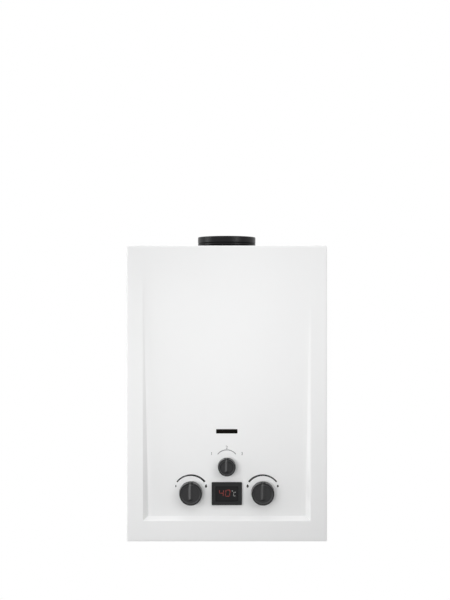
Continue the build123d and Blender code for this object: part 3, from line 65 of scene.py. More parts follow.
def pattern(finish, kind, size, stretch=(1, 1, 1), output=0, **settings):
    tree = finish.node_tree
    place = tree.nodes.new("ShaderNodeTexCoord")
    spread = tree.nodes.new("ShaderNodeMapping")
    spread.inputs["Scale"].default_value = [s / size for s in stretch]
    made = tree.nodes.new(kind)
    made.inputs["Scale"].default_value = 1
    for socket, value in settings.items():
        made.inputs[socket].default_value = value
    tree.links.new(place.outputs["Object"], spread.inputs["Vector"])
    tree.links.new(spread.outputs["Vector"], made.inputs["Vector"])
    return made.outputs[output]


def tone(finish, value, dark, light):
    tree = finish.node_tree
    ramp = tree.nodes.new("ShaderNodeValToRGB")
    ramp.color_ramp.elements[0].position = 0.25
    ramp.color_ramp.elements[0].color = (*dark, 1)
    ramp.color_ramp.elements[1].position = 0.75
    ramp.color_ramp.elements[1].color = (*light, 1)
    tree.links.new(value, ramp.inputs["Fac"])
    tree.links.new(ramp.outputs["Color"], tree.nodes["Principled BSDF"].inputs["Base Color"])


def gloss(finish, value, low, high):
    tree = finish.node_tree
    span = tree.nodes.new("ShaderNodeMapRange")
    span.inputs["To Min"].default_value = low
    span.inputs["To Max"].default_value = high
    tree.links.new(value, span.inputs["Value"])
    tree.links.new(span.outputs["Result"], tree.nodes["Principled BSDF"].inputs["Roughness"])


def relief(finish, value, depth):
    tree = finish.node_tree
    bump = tree.nodes.new("ShaderNodeBump")
    bump.inputs["Distance"].default_value = depth
    tree.links.new(value, bump.inputs["Height"])
    tree.links.new(bump.outputs["Normal"], tree.nodes["Principled BSDF"].inputs["Normal"])


def dress(finish, *names):
    for name in names:
        for held in nodes[name].material_slots:
            held.material = finish


NOISE = "ShaderNodeTexNoise"
CELLS = "ShaderNodeTexVoronoi"

zinc = new_finish("spangled_zinc", Metallic=0.75)
spangle = pattern(zinc, CELLS, 0.012, output="Color")
tone(zinc, spangle, (0.54, 0.55, 0.565), (0.64, 0.65, 0.66))
gloss(zinc, spangle, 0.34, 0.48)
relief(zinc, pattern(zinc, NOISE, 0.004), 0.00002)
dress(zinc, "back_plate")


# Bottom plate
# A flat galvanised sheet with air slots, pipe holes and the battery opening, its two hinge lugs
# curled from the same sheet. It shares the tray's spangle.

dress(zinc, "bottom_plate")


# Pipe unions
# Three turned brass unions with a flange, a spanner hexagon and a half-inch pipe thread below.
# The thread is a helical ridge cut at 14 turns to the inch, with the core at its root.

THREAD_CREST = 0.01048
THREAD_ROOT = 0.00932
THREAD_PITCH = 0.001814
THREAD_STEPS = 40
UNION_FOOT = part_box("pipe_unions")[0].z
UNION_SEAT = -0.3866
UNION_PLACES = ((-0.120, -0.043), (-0.040, -0.043), (0.066, -0.043))
RIDGE_SINK = 0.0003
RIDGE_SHARES = (0.02, 0.44, 0.56, 0.98)
NEAR_CREST = 2e-5
NEAR_SEAT = 1e-5
SAME_POINT = 1e-6
SHARP_ANGLE = 32

brass = new_finish("turned_brass", Metallic=1.0)
lathe_marks = pattern(brass, NOISE, 0.004, stretch=(1, 1, 14))
tone(brass, pattern(brass, NOISE, 0.03), (0.62, 0.43, 0.17), (0.74, 0.56, 0.27))
gloss(brass, lathe_marks, 0.20, 0.38)
relief(brass, lathe_marks, 0.00001)


def finished(name, shape, finish, body):
    mesh = bpy.data.meshes.new(name)
    shape.to_mesh(mesh)
    shape.free()
    mesh.materials.clear()
    mesh.materials.append(finish)
    normals = mesh.attributes.get("custom_normal")
    if normals:
        mesh.attributes.remove(normals)
    mesh.polygons.foreach_set("use_smooth", [True] * len(mesh.polygons))
    mesh.set_sharp_from_angle(angle=math.radians(SHARP_ANGLE))
    piece = bpy.data.objects.new(name, mesh)
    bpy.context.scene.collection.objects.link(piece)
    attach(piece, body)
    return piece


def merged_copy(node):
    shape = bmesh.new()
    shape.from_mesh(nodes[node].data)
    bmesh.ops.remove_doubles(shape, verts=shape.verts, dist=SAME_POINT)
    return shape


unions = merged_copy("pipe_unions")
thread_turns = math.floor((UNION_SEAT - UNION_FOOT) / THREAD_PITCH) - 1
thread_start = UNION_FOOT + THREAD_PITCH / 2
sunk = THREAD_ROOT - RIDGE_SINK
ridge = list(zip((sunk, THREAD_CREST, THREAD_CREST, sunk), RIDGE_SHARES))
for x, y in UNION_PLACES:
    for point in unions.verts:
        out = math.hypot(point.co.x - x, point.co.y - y)
        if abs(out - THREAD_CREST) < NEAR_CREST and point.co.z < UNION_SEAT + NEAR_SEAT:
            point.co.x = x + (point.co.x - x) * THREAD_ROOT / out
            point.co.y = y + (point.co.y - y) * THREAD_ROOT / out
    corners = [unions.verts.new((x + r, y, thread_start + part * THREAD_PITCH)) for r, part in ridge]
    flank = unions.faces.new(corners)
    bmesh.ops.spin(unions, geom=corners + flank.edges[:] + [flank], cent=(x, y, 0), axis=(0, 0, 1),
                   dvec=(0, 0, THREAD_PITCH / THREAD_STEPS), angle=thread_turns * math.tau,
                   steps=thread_turns * THREAD_STEPS)
bmesh.ops.recalc_face_normals(unions, faces=unions.faces)
threaded_unions = finished("threaded_unions", unions, brass, "casing")
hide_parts("pipe_unions")


# Water side
# The brass water valve with its diaphragm clamped under a screwed cover, a relief valve and a
# black drain plug. The rubber diaphragm is moulded and the clamp screws are bright steel.

steel = new_finish("bright_steel", Metallic=1.0)
drawn = pattern(steel, NOISE, 0.003, stretch=(1, 1, 8))
tone(steel, pattern(steel, NOISE, 0.02), (0.52, 0.52, 0.53), (0.64, 0.64, 0.65))
gloss(steel, drawn, 0.22, 0.42)
relief(steel, drawn, 0.000006)

rubber = new_finish("moulded_rubber", Specular_IOR_Level=0.3)
bloom = pattern(rubber, NOISE, 0.012)
tone(rubber, bloom, (0.018, 0.018, 0.018), (0.034, 0.034, 0.033))
gloss(rubber, bloom, 0.62, 0.82)
relief(rubber, pattern(rubber, NOISE, 0.0009), 0.00002)

black_plastic = new_finish("black_moulding", Specular_IOR_Level=0.35)
spark = pattern(black_plastic, NOISE, 0.0006)
tone(black_plastic, spark, (0.014, 0.014, 0.015), (0.024, 0.024, 0.025))
gloss(black_plastic, spark, 0.42, 0.58)
relief(black_plastic, spark, 0.00001)

dress(brass, "water_valve", "relief_valve", "diaphragm_cover")
dress(rubber, "diaphragm")
dress(steel, "clamp_screws", "water_spindle", "diaphragm_disc")
dress(black_plastic, "drain_plug")


# Gas side
# Die-cast aluminium gas valve, manifold and season valve, with a fine cast grain, closed by a brass
# plug. Nine turned brass nozzles sit in the manifold and steel spindles leave for the knobs.

cast_grain = new_finish("die_cast_aluminium", Metallic=0.9)
skin = pattern(cast_grain, NOISE, 0.0014)
tone(cast_grain, pattern(cast_grain, NOISE, 0.025), (0.50, 0.51, 0.52), (0.62, 0.63, 0.64))
gloss(cast_grain, skin, 0.42, 0.60)
relief(cast_grain, skin, 0.00004)

dress(cast_grain, "gas_valve", "gas_manifold", "season_valve")
dress(brass, "gas_valve_plug", "gas_nozzles")
dress(steel, "gas_spindle", "season_spindle")


# Push rod line
# The rod that the water flow pushes: rubber-faced poppet, steel rod and a wound steel spring that the
# poppet shortens, with the microswitch and its lever on a zinc bracket beside them.

dress(rubber, "gas_poppet")
dress(steel, "push_rod", "switch_lever")
dress(black_plastic, "microswitch")
dress(zinc, "switch_bracket")

wound_spring = finished("wound_spring", merged_copy("valve_spring"), steel, "casing")
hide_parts("valve_spring")
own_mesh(wound_spring)


# Burner
# Nine pressed steel blades in a zinc frame on two brackets. Heat has left the blades with straw and
# blue tints in patches.

tempered = new_finish("heat_tinted_steel", Metallic=1.0)
heat = pattern(tempered, NOISE, 0.018)
tone(tempered, heat, (0.26, 0.24, 0.27), (0.50, 0.44, 0.34))
gloss(tempered, heat, 0.30, 0.48)
relief(tempered, pattern(tempered, NOISE, 0.002), 0.00001)

dress(tempered, "burner_blades")
dress(zinc, "burner_frame", "burner_brackets")


# Heat exchanger and pipes
# A brazed copper chamber wrapped by its coil, eighteen fins on the tubes above it, and the bent feed
# and hot pipes. Flame and hands have dulled the copper in patches.

copper = new_finish("brazed_copper", Metallic=1.0)
tarnish = pattern(copper, NOISE, 0.022, Detail=5)
tone(copper, tarnish, (0.40, 0.19, 0.11), (0.72, 0.40, 0.27))
gloss(copper, tarnish, 0.44, 0.24)
relief(copper, pattern(copper, NOISE, 0.003), 0.00001)

dress(copper, "combustion_chamber", "heat_fins", "fin_tubes", "coil_pipe", "feed_pipes", "hot_pipe")
dress(black_plastic, "temperature_sensor", "thermal_cutout")


# Draft hood
# A folded zinc box over the exchanger that gathers the flue gas under the collar. Three slots in it
# let air in to steady the draught, and it shares the tray's spangle.

dress(zinc, "draft_hood")


# Flue collar
# A spun steel ring with two rolled grooves, stoved in black enamel and held to the hood by four
# rivets through its flange.

black_enamel = new_finish("black_enamel", Specular_IOR_Level=0.22)
stoved = pattern(black_enamel, NOISE, 0.0016)
tone(black_enamel, pattern(black_enamel, NOISE, 0.02), (0.003, 0.003, 0.0035), (0.006, 0.006, 0.0065))
gloss(black_enamel, stoved, 0.30, 0.38)
relief(black_enamel, stoved, 0.000008)

dress(black_enamel, "flue_collar")
dress(steel, "collar_rivets")


# Ignition
# Two glazed ceramic insulators with steel rods at the burner, the moulded igniter box, and the
# leads in red silicone sleeve.

ceramic = new_finish("glazed_ceramic", Coat_Weight=0.4, Coat_Roughness=0.1)
glaze = pattern(ceramic, NOISE, 0.006)
tone(ceramic, glaze, (0.72, 0.70, 0.66), (0.82, 0.81, 0.78))
gloss(ceramic, glaze, 0.16, 0.30)
relief(ceramic, glaze, 0.00002)

silicone = new_finish("silicone_sleeve", Specular_IOR_Level=0.35)
sleeve = pattern(silicone, NOISE, 0.004)
tone(silicone, sleeve, (0.30, 0.035, 0.025), (0.42, 0.06, 0.045))
gloss(silicone, sleeve, 0.46, 0.62)
relief(silicone, pattern(silicone, NOISE, 0.0008), 0.00001)

dress(ceramic, "electrode_insulators")
dress(steel, "electrode_rods")
dress(black_plastic, "igniter_box")
dress(silicone, "inner_leads")


# Battery box
# A moulded grey box under the gas valve with two cells lying end to end, sprung steel contacts, and
# a hinged door on a steel pin that presses the cells up with two bowed leaves.

grey_plastic = new_finish("grey_moulding", Specular_IOR_Level=0.4)
etch = pattern(grey_plastic, NOISE, 0.0007)
tone(grey_plastic, pattern(grey_plastic, NOISE, 0.03), (0.40, 0.41, 0.42), (0.46, 0.47, 0.48))
gloss(grey_plastic, etch, 0.45, 0.60)
relief(grey_plastic, etch, 0.000012)

jacket = new_finish("cell_jacket", Metallic=0.3)
foil = pattern(jacket, NOISE, 0.01)
tone(jacket, foil, (0.035, 0.04, 0.05), (0.06, 0.068, 0.08))
gloss(jacket, foil, 0.25, 0.36)

dress(grey_plastic, "battery_box", "battery_door")
dress(jacket, "battery_cells")
dress(steel, "battery_contacts", "door_pin", "door_springs")


# Front cover
# One steel sheet, folded at the sides and pressed into a wedge field that deepens to the foot, then
# stoved in white enamel. The bends run smoothly into the flats, as pressed sheet does.

enamel = new_finish("white_enamel", Specular_IOR_Level=0.45)
haze = pattern(enamel, NOISE, 0.11)
tone(enamel, haze, (0.872, 0.874, 0.874), (0.884, 0.886, 0.886))
gloss(enamel, haze, 0.278, 0.282)
relief(enamel, pattern(enamel, NOISE, 0.0022), 0.000002)

pressed_cover = finished("pressed_cover", merged_copy("front_cover"), enamel, "casing")
bends = pressed_cover.modifiers.new("even_bends", "WEIGHTED_NORMAL")
bends.keep_sharp = True
bends.weight = 100
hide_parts("front_cover")


# Flame window
# A pane of mica behind the slot, split thin from a block and coloured near black as painted shade of the dark
# inside.
# A zinc frame holds it to the back of the cover.

mica = new_finish("mica_painted_shade", Specular_IOR_Level=0.06)
layers = pattern(mica, NOISE, 0.008)
# Painted shade: the pane is coloured near black to stand for the dark inside seen through the slot.
tone(mica, layers, (0.002, 0.0016, 0.0012), (0.006, 0.0045, 0.003))
gloss(mica, layers, 0.35, 0.55)

dress(mica, "flame_window")
dress(zinc, "window_frame")


# Cover screws
# Four bright pan-head screws through the folded sides into the tray. Each head has a cross recess
# sunk into its crown.

HEAD_R = 0.0036
HEAD_H = 0.0022
HEAD_SIDES = 20
HEAD_TURN = 9
DOME_R = 0.0011
DOME_STEPS = 4
SHANK_R = 0.0019
SHANK_L = 0.007
CROWN_HALF = 0.0021
RECESS_REACH = 0.0017
RECESS_HALF = 0.0004
RECESS_DEPTH = 0.0012
RECESS_TAPER = 0.75
RECESS_LINES = (-CROWN_HALF, -RECESS_REACH, -RECESS_HALF, RECESS_HALF, RECESS_REACH, CROWN_HALF)
RECESS_CELLS = len(RECESS_LINES) - 1
SCREW_Y = -0.011
SCREW_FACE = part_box("cover_screws")[1].x
SCREW_HEIGHTS = (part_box("cover_screws")[0].z + HEAD_R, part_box("cover_screws")[1].z - HEAD_R)


def points_of(geometry):
    return [item for item in geometry if isinstance(item, bmesh.types.BMVert)]


def edges_of(geometry):
    return [item for item in geometry if isinstance(item, bmesh.types.BMEdge)]


def in_recess(face):
    middle = face.calc_center_median()
    inside = max(map(abs, middle)) < RECESS_REACH
    return len(face.verts) == 4 and inside and min(map(abs, middle[:2])) < RECESS_HALF


def on_head_rim(edge):
    level = all(abs(v.co.z) < SAME_POINT for v in edge.verts)
    return level and all(abs(math.hypot(*v.co.xy) - HEAD_R) < SAME_POINT for v in edge.verts)


def pan_screw():
    screw = bmesh.new()
    half = RECESS_CELLS / 2
    crown = bmesh.ops.create_grid(screw, x_segments=RECESS_CELLS, y_segments=RECESS_CELLS, size=half)["verts"]
    for point in crown:
        point.co.x = RECESS_LINES[round(point.co.x + half)]
        point.co.y = RECESS_LINES[round(point.co.y + half)]
    edge = [e for e in screw.edges if e.is_boundary]
    rim = bmesh.ops.create_circle(screw, segments=HEAD_SIDES, radius=HEAD_R)["verts"]
    turned = Matrix.Rotation(math.radians(HEAD_TURN), 3, "Z")
    bmesh.ops.rotate(screw, verts=rim, cent=(0, 0, 0), matrix=turned)
    hoop = [e for e in screw.edges if e.verts[0] in rim]
    bmesh.ops.bridge_loops(screw, edges=edge + hoop)
    cross = [f for f in screw.faces if in_recess(f)]
    floor_points = points_of(bmesh.ops.extrude_face_region(screw, geom=cross)["geom"])
    bmesh.ops.delete(screw, geom=cross, context="FACES_ONLY")
    bmesh.ops.translate(screw, verts=floor_points, vec=(0, 0, -RECESS_DEPTH))
    bmesh.ops.scale(screw, verts=floor_points, vec=(RECESS_TAPER, RECESS_TAPER, 1))
    for radius, drop in ((HEAD_R, HEAD_H), (SHANK_R, 0), (SHANK_R, SHANK_L)):
        grown = bmesh.ops.extrude_edge_only(screw, edges=hoop)["geom"]
        hoop = edges_of(grown)
        ring = points_of(grown)
        share = radius / math.hypot(*ring[0].co.xy)
        bmesh.ops.scale(screw, verts=ring, vec=(share, share, 1))
        bmesh.ops.translate(screw, verts=ring, vec=(0, 0, -drop))
    bmesh.ops.holes_fill(screw, edges=hoop)
    bmesh.ops.bevel(screw, geom=[e for e in screw.edges if on_head_rim(e)], offset=DOME_R,
                    offset_type="OFFSET", affect="EDGES", segments=DOME_STEPS, profile=0.5, material=-1)
    return screw


screws = bmesh.new()
for side in (-1, 1):
    for z in SCREW_HEIGHTS:
        one_screw = pan_screw()
        facing = Matrix.Rotation(math.radians(90 * side), 4, "Y")
        seat = Matrix.Translation((side * SCREW_FACE, SCREW_Y, z)) @ facing
        bmesh.ops.transform(one_screw, matrix=seat, verts=one_screw.verts)
        bmesh.ops.recalc_face_normals(one_screw, faces=one_screw.faces)
        screw_mesh = bpy.data.meshes.new("screw")
        one_screw.to_mesh(screw_mesh)
        one_screw.free()
        screws.from_mesh(screw_mesh)
        bpy.data.meshes.remove(screw_mesh)
pan_screws = finished("pan_screws", screws, steel, "casing")
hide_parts("cover_screws")


# Temperature display
# A moulded bezel snapped into the field, a smoked lens with a display board behind it, and red
# seven-segment figures with a grey degree mark, laid as thin bars on the lens.

FOLD_R = 0.0016
FIELD_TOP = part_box("front_cover")[1].z - FOLD_R
FIELD_FOOT = -0.3536
FIELD_DEPTH = 0.008
COVER_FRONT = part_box("front_cover")[0].y
LENS_OUT = 0.0024
LENS_LIFT = 0.00002
INK = 0.00006
INK_LIFT = 0.00001
DISPLAY_Z = (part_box("display_lens")[0].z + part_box("display_lens")[1].z) / 2
BAR_SIDES = 6
BAR_GAP = 0.25
FIGURE_LEAN = 7
FIGURE_SIZE = (0.0062, 0.0092, 0.0014)
TENS_SPOT = (-0.0082, 0.0008)
UNITS_SPOT = (0.0014, 0.0008)
SCALE_SIZE = (0.0032, 0.0058, 0.0009)
SCALE_SPOT = (0.0120, -0.0006)
RING_X = 0.0082
RING_Y = 0.0040
RING_HALF = 0.0007
RING_BAR = (0.0013, 0.0005)
RED_GLOW = (0.62, 0.055, 0.04, 1)
GREY_GLOW = (0.5, 0.5, 0.48, 1)


def on_field(x, z, out=INK_LIFT):
    slope = FIELD_DEPTH / (FIELD_TOP - FIELD_FOOT)
    tilt = math.atan(slope)
    s, c = math.sin(tilt), math.cos(tilt)
    y = COVER_FRONT + slope * (FIELD_TOP - z)
    return Matrix(((1, 0, 0, x), (0, -s, -c, y - c * out), (0, c, -s, z - s * out), (0, 0, 0, 1)))


def lay_print(name, flat, spot, finish):
    bmesh.ops.recalc_face_normals(flat, faces=flat.faces)
    grown = bmesh.ops.extrude_face_region(flat, geom=flat.faces[:], use_keep_orig=True)["geom"]
    bmesh.ops.translate(flat, verts=points_of(grown), vec=(0, 0, INK))
    bmesh.ops.recalc_face_normals(flat, faces=flat.faces)
    bmesh.ops.transform(flat, matrix=spot, verts=flat.verts)
    finished(name, flat, finish, "casing")


def add_bar(flat, spot, length, width, upright):
    points = bmesh.ops.create_circle(flat, segments=BAR_SIDES, radius=width / 2, cap_ends=True)["verts"]
    for point in points:
        point.co.x += math.copysign((length - width) / 2, point.co.x)
    if upright:
        quarter_turn = Matrix.Rotation(math.radians(90), 3, "Z")
        bmesh.ops.rotate(flat, verts=points, cent=(0, 0, 0), matrix=quarter_turn)
    bmesh.ops.translate(flat, verts=points, vec=(*spot, 0))


def add_figure(flat, lit, centre, width, height, stroke):
    half, quarter = height / 2, height / 4
    bars = {
        "a": ((0, half), False), "b": ((width / 2, quarter), True), "c": ((width / 2, -quarter), True),
        "d": ((0, -half), False), "e": ((-width / 2, -quarter), True), "f": ((-width / 2, quarter), True),
        "g": ((0, 0), False),
    }
    for name in lit:
        (x, y), upright = bars[name]
        length = (half if upright else width) - stroke * BAR_GAP
        lean = math.tan(math.radians(FIGURE_LEAN)) * y
        add_bar(flat, (centre[0] + x + lean, centre[1] + y), length, stroke, upright)


bezel_plastic = new_finish("bezel_moulding", Specular_IOR_Level=0.25)
bezel_etch = pattern(bezel_plastic, NOISE, 0.0006)
tone(bezel_plastic, bezel_etch, (0.011, 0.0115, 0.012), (0.018, 0.0185, 0.019))
gloss(bezel_plastic, bezel_etch, 0.40, 0.55)
relief(bezel_plastic, bezel_etch, 0.00001)

lens = new_finish("smoked_lens", Specular_IOR_Level=0.2)
smear = pattern(lens, NOISE, 0.01)
tone(lens, smear, (0.005, 0.005, 0.0055), (0.009, 0.009, 0.0095))
gloss(lens, smear, 0.10, 0.18)

board = new_finish("lacquered_board", Coat_Weight=0.3)
tracks = pattern(board, CELLS, 0.0035)
tone(board, tracks, (0.02, 0.12, 0.05), (0.05, 0.24, 0.11))
gloss(board, tracks, 0.28, 0.42)

dress(bezel_plastic, "display_bezel")
dress(lens, "display_lens")
dress(board, "display_board")

red_light = new_finish("red_light", Roughness=0.4, Emission_Color=RED_GLOW, Emission_Strength=0.05)
tone(red_light, pattern(red_light, NOISE, 0.004), (0.15, 0.015, 0.012), (0.20, 0.021, 0.017))
grey_light = new_finish("grey_light", Roughness=0.4, Emission_Color=GREY_GLOW, Emission_Strength=0.2)
tone(grey_light, pattern(grey_light, NOISE, 0.004), (0.22, 0.22, 0.21), (0.27, 0.27, 0.26))

on_lens = on_field(0, DISPLAY_Z, LENS_OUT + LENS_LIFT)
figures = bmesh.new()
add_figure(figures, "bcfg", TENS_SPOT, *FIGURE_SIZE)
add_figure(figures, "abcdef", UNITS_SPOT, *FIGURE_SIZE)
lay_print("lit_figures", figures, on_lens, red_light)

degree = bmesh.new()
add_figure(degree, "adef", SCALE_SPOT, *SCALE_SIZE)
for y in (RING_HALF, -RING_HALF):
    add_bar(degree, (RING_X, RING_Y + y), *RING_BAR, False)
for x in (RING_HALF, -RING_HALF):
    add_bar(degree, (RING_X + x, RING_Y), *RING_BAR, True)
lay_print("degree_mark", degree, on_lens, grey_light)


# Dial prints
# Stoved ink on the field: a tapered arc over each large knob with a small and a large mark at its
# ends, flames for gas and drops for water, and a fine arc with plain numbers over the small knob.

KNOB_X = 0.054
KNOB_Z = -0.3185
SEASON_ARC_Z = -0.2715
ARC_R = 0.0265
ARC_HALF = 52
ARC_STEPS = 28
ARC_THIN = 0.0020
ARC_THICK = 0.0030
SEASON_ARC_R = 0.0176
SEASON_ARC_HALF = 51
SEASON_LINE = 0.0011
SEASON_NUMBERS = (("1", (-0.0228, 0.0118)), ("2", (0, 0.0212)), ("3", (0.0228, 0.0118)))
NUMBER_SIZE = 0.0066
MARK_R = 0.0248
MARK_ANGLE = 66.2
MARK_SIDES = 24
MARK_TAPER = 1.1
MARK_CURVE = 1.2
MARK_TIP = 0.3
FLAMES = ((-1, 0.0019, 0.0034, 0.0008), (1, 0.0033, 0.0050, 0.0014))
DROPS = ((-1, 0.0034, 0.0048, 0), (1, 0.0030, 0.0036, 0))
DIALS = (
    ("gas_marks", -KNOB_X, (ARC_THIN, ARC_THICK), FLAMES),
    ("water_marks", KNOB_X, (ARC_THICK, ARC_THIN), DROPS),
)

black_ink = new_finish("black_ink", Roughness=0.5)
tone(black_ink, pattern(black_ink, NOISE, 0.002), (0.004, 0.004, 0.0045), (0.008, 0.008, 0.0085))
grey_ink = new_finish("grey_ink", Roughness=0.5)
tone(grey_ink, pattern(grey_ink, NOISE, 0.002), (0.16, 0.16, 0.165), (0.20, 0.20, 0.205))


def add_arc(flat, radius, half, thin, thick):
    ends = [flat.verts.new((0, radius + t, 0)) for t in (-thin, thin)]
    edge = flat.edges.new(ends)
    to_start = Matrix.Rotation(math.radians(half), 3, "Z")
    bmesh.ops.rotate(flat, verts=ends, cent=(0, 0, 0), matrix=to_start)
    before = set(flat.verts) - set(ends)
    bmesh.ops.spin(flat, geom=ends + [edge], cent=(0, 0, 0), axis=(0, 0, -1),
                   angle=math.radians(2 * half), steps=ARC_STEPS)
    for point in [v for v in flat.verts if v not in before]:
        share = 0.5 + math.degrees(math.atan2(point.co.x, point.co.y)) / (2 * half)
        width = thin + (thick - thin) * share
        away = radius + math.copysign(width / 2, math.hypot(*point.co.xy) - radius)
        point.co.xy = point.co.xy.normalized() * away


def add_mark(flat, spot, width, height, lean):
    points = bmesh.ops.create_circle(flat, segments=MARK_SIDES, radius=0.5, cap_ends=True)["verts"]
    for point in points:
        rise = max(0, point.co.y)
        point.co.x = point.co.x * width * (1 - MARK_TAPER * rise ** MARK_CURVE) + lean * rise ** 2
        point.co.y *= height * (1 + MARK_TIP * rise)
    bmesh.ops.translate(flat, verts=points, vec=(*spot, 0))


def end_spot(side):
    turn = math.radians(side * MARK_ANGLE)
    return MARK_R * math.sin(turn), MARK_R * math.cos(turn)


for name, x, widths, marks in DIALS:
    dial = bmesh.new()
    add_arc(dial, ARC_R, ARC_HALF, *widths)
    for side, width, height, lean in marks:
        add_mark(dial, end_spot(side), width, height, lean)
    lay_print(name, dial, on_field(x, KNOB_Z), black_ink)

season_print = bmesh.new()
add_arc(season_print, SEASON_ARC_R, SEASON_ARC_HALF, SEASON_LINE, SEASON_LINE)
for figure, spot in SEASON_NUMBERS:
    letters = bpy.data.curves.new("number", "FONT")
    letters.body = figure
    letters.size = NUMBER_SIZE
    letters.align_x = "CENTER"
    letters.align_y = "CENTER"
    drawn_number = bpy.data.objects.new("number", letters)
    number_mesh = bpy.data.meshes.new_from_object(drawn_number)
    number_mesh.transform(Matrix.Translation((*spot, 0)))
    season_print.from_mesh(number_mesh)
    bpy.data.objects.remove(drawn_number)
    bpy.data.meshes.remove(number_mesh)
lay_print("season_marks", season_print, on_field(0, SEASON_ARC_Z), grey_ink)


# Knobs
# Two large and one small knob moulded in charcoal plastic, each a dished face inside a raised rim
# with a gabled grip across it. The mould leaves a satin grain. The dish wall carries a paler ring as a
# painted highlight, and the rim a darker tone as painted shade.

FACE_TONE = (0.017, 0.017, 0.018, 1)
# Painted highlight: a paler ring on the dish wall, so that its lower right reads as a lit crescent.
DISH_PAINTED_HIGHLIGHT_TONE = (0.050, 0.050, 0.052, 1)
# Painted shade: the outer rim is coloured darker than the face.
RIM_PAINTED_SHADE_TONE = (0.004, 0.004, 0.0045, 1)
KNOB_TONES_AND_PAINTED_LIGHT = ((0.72, FACE_TONE), (0.75, DISH_PAINTED_HIGHLIGHT_TONE), (0.81, DISH_PAINTED_HIGHLIGHT_TONE), (0.86, RIM_PAINTED_SHADE_TONE))


def share_of_reach(finish, knob):
    low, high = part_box(knob)
    reach = (high.x - low.x) / 2
    centre = ((low.x + high.x) / 2, 0, low.z + reach)
    tree = finish.node_tree
    place = tree.nodes.new("ShaderNodeTexCoord")
    centred = tree.nodes.new("ShaderNodeMapping")
    centred.inputs["Location"].default_value = [-c / reach for c in centre]
    centred.inputs["Scale"].default_value = (1 / reach, 0, 1 / reach)
    away = tree.nodes.new("ShaderNodeVectorMath")
    away.operation = "LENGTH"
    tree.links.new(place.outputs["Object"], centred.inputs["Vector"])
    tree.links.new(centred.outputs["Vector"], away.inputs[0])
    return away.outputs["Value"]


def ring_tones(finish, share, rings):
    tree = finish.node_tree
    ramp = tree.nodes.new("ShaderNodeValToRGB")
    stops = ramp.color_ramp.elements
    stops.remove(stops[1])
    stops[0].color = rings[0][1]
    for spot, shade in rings:
        stops.new(spot).color = shade
    tree.links.new(share, ramp.inputs["Fac"])
    tree.links.new(ramp.outputs["Color"], tree.nodes["Principled BSDF"].inputs["Base Color"])


for knob in ("gas_knob", "water_knob", "season_knob"):
    knob_plastic = new_finish(knob + "_moulding", Specular_IOR_Level=0.36)
    knob_etch = pattern(knob_plastic, NOISE, 0.0005)
    ring_tones(knob_plastic, share_of_reach(knob_plastic, knob), KNOB_TONES_AND_PAINTED_LIGHT)
    gloss(knob_plastic, knob_etch, 0.24, 0.34)
    relief(knob_plastic, knob_etch, 0.000006)
    dress(knob_plastic, knob)


# Studio
# A pale floor well below the hung heater, two soft-edged lamps to the front left, a tall strip at the
# left side, a wide lamp above the front, a small one to the right, and a fill that grows overhead.

FLOOR_Z = -1.1
FLOOR_R = 1.5
FLOOR_SIDES = 96
FLOOR_TONE = 0.3
FLOOR_GLOW = 0.66
FILL_FROM = -0.56
FILL_ABOVE = 1.0
KEY_SPOT = (-0.7, -1.95, -0.1)
KEY_AIM = (0.021, -0.14, -0.028)
KEY_POWER = 80.0
KEY_CONE = 22.8
LOW_SPOT = (-1.2, -1.3, -0.1)
LOW_AIM = (-0.281, -0.14, -0.331)
LOW_POWER = 54.0
LOW_CONE = 19.1
POOL_SIZE = 0.3
ROUND_ABOUT = (0, -0.14, -0.2)
SIDE_SPOT = (-2.6, -0.44, 0.4)
SIDE_POWER = 32.0
SIDE_SIZE = (0.55, 3.6)
TOP_SPOT = (0, -1.15, 0.95)
TOP_POWER = 3.0
TOP_SIZE = (1.8, 0.5)
RIGHT_SPOT = (0.96, -1.22, 0.14)
RIGHT_POWER = 2.5
RIGHT_SIZE = (0.42, 0.2)
WHITE = (1, 1, 1, 1)
CAMERA_SPOT = (-0.0027, -1.6365, -0.0287)
CAMERA_LENS = 40
CAMERA_SENSOR = 24

floor_shape = bmesh.new()
bmesh.ops.create_circle(floor_shape, segments=FLOOR_SIDES, radius=FLOOR_R, cap_ends=True)
bmesh.ops.translate(floor_shape, verts=floor_shape.verts, vec=(0, 0, FLOOR_Z))
floor_mesh = bpy.data.meshes.new("floor")
floor_shape.to_mesh(floor_mesh)
floor_shape.free()
floor = bpy.data.objects.new("floor", floor_mesh)
bpy.context.scene.collection.objects.link(floor)


def seen_directly(tree):
    path = tree.nodes.new("ShaderNodeLightPath")
    seen = path.outputs["Is Camera Ray"]
    for ray in ("Is Glossy Ray", "Is Transmission Ray"):
        either = tree.nodes.new("ShaderNodeMath")
        either.operation = "MAXIMUM"
        tree.links.new(seen, either.inputs[0])
        tree.links.new(path.outputs[ray], either.inputs[1])
        seen = either.outputs[0]
    return seen


floor_finish = bpy.data.materials.new("pale_floor")
floor_finish.use_nodes = True
ground = floor_finish.node_tree
ground.nodes.remove(ground.nodes["Principled BSDF"])
chalk = ground.nodes.new("ShaderNodeBsdfDiffuse")
chalk.inputs["Color"].default_value = (FLOOR_TONE, FLOOR_TONE, FLOOR_TONE, 1)
glow = ground.nodes.new("ShaderNodeEmission")
lift = ground.nodes.new("ShaderNodeMath")
lift.operation = "MULTIPLY"
lift.inputs[1].default_value = FLOOR_GLOW
ground.links.new(seen_directly(ground), lift.inputs[0])
ground.links.new(lift.outputs[0], glow.inputs["Strength"])
both = ground.nodes.new("ShaderNodeAddShader")
ground.links.new(chalk.outputs[0], both.inputs[0])
ground.links.new(glow.outputs[0], both.inputs[1])
ground.links.new(both.outputs[0], ground.nodes["Material Output"].inputs["Surface"])
floor_mesh.materials.append(floor_finish)

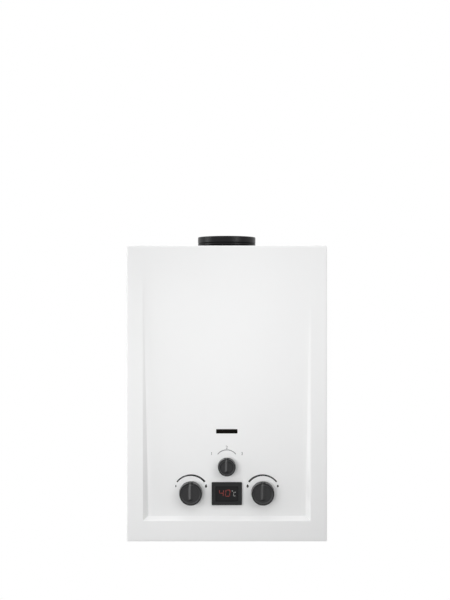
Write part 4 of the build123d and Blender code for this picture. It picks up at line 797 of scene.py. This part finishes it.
world = bpy.data.worlds.new("white_room")
world.use_nodes = True
sky = world.node_tree
fill = sky.nodes["Background"]
fill.inputs["Color"].default_value = WHITE
way = sky.nodes.new("ShaderNodeTexCoord")
heading = sky.nodes.new("ShaderNodeSeparateXYZ")
graded = sky.nodes.new("ShaderNodeMapRange")
graded.inputs["From Min"].default_value = FILL_FROM
graded.inputs["To Max"].default_value = FILL_ABOVE
sky.links.new(way.outputs["Generated"], heading.inputs["Vector"])
sky.links.new(heading.outputs["Z"], graded.inputs["Value"])
sky.links.new(graded.outputs["Result"], fill.inputs["Strength"])
white = sky.nodes.new("ShaderNodeBackground")
white.inputs["Color"].default_value = WHITE
backdrop = sky.nodes.new("ShaderNodeMixShader")
sky.links.new(seen_directly(sky), backdrop.inputs["Fac"])
sky.links.new(fill.outputs[0], backdrop.inputs[1])
sky.links.new(white.outputs[0], backdrop.inputs[2])
sky.links.new(backdrop.outputs[0], sky.nodes["World Output"].inputs["Surface"])
bpy.context.scene.world = world


def stand_lamp(lamp, spot, aim, mirrored):
    stand = bpy.data.objects.new(lamp.name, lamp)
    stand.location = spot
    stand.rotation_euler = (Vector(aim) - Vector(spot)).to_track_quat("-Z", "Y").to_euler()
    stand.visible_glossy = mirrored
    bpy.context.scene.collection.objects.link(stand)


def soft_lamp(name, spot, power, size, mirrored=True):
    lamp = bpy.data.lights.new(name, "AREA")
    lamp.shape = "RECTANGLE"
    lamp.size, lamp.size_y = size
    lamp.energy = power
    stand_lamp(lamp, spot, ROUND_ABOUT, mirrored)


def pool_lamp(name, spot, aim, power, cone):
    lamp = bpy.data.lights.new(name, "SPOT")
    lamp.energy = power
    lamp.spot_size = math.radians(cone)
    lamp.spot_blend = 1
    lamp.shadow_soft_size = POOL_SIZE
    stand_lamp(lamp, spot, aim, False)


pool_lamp("key_lamp", KEY_SPOT, KEY_AIM, KEY_POWER, KEY_CONE)
pool_lamp("low_lamp", LOW_SPOT, LOW_AIM, LOW_POWER, LOW_CONE)
soft_lamp("side_lamp", SIDE_SPOT, SIDE_POWER, SIDE_SIZE)
soft_lamp("top_lamp", TOP_SPOT, TOP_POWER, TOP_SIZE, mirrored=False)
soft_lamp("right_lamp", RIGHT_SPOT, RIGHT_POWER, RIGHT_SIZE)

camera = bpy.data.cameras.new("camera")
camera.sensor_fit = "VERTICAL"
camera.sensor_height = CAMERA_SENSOR
camera.lens = CAMERA_LENS
viewer = bpy.data.objects.new("camera", camera)
viewer.location = CAMERA_SPOT
viewer.rotation_euler = (math.radians(90), 0, 0)
bpy.context.scene.collection.objects.link(viewer)
bpy.context.scene.camera = viewer
bpy.context.scene.view_settings.view_transform = "Standard"
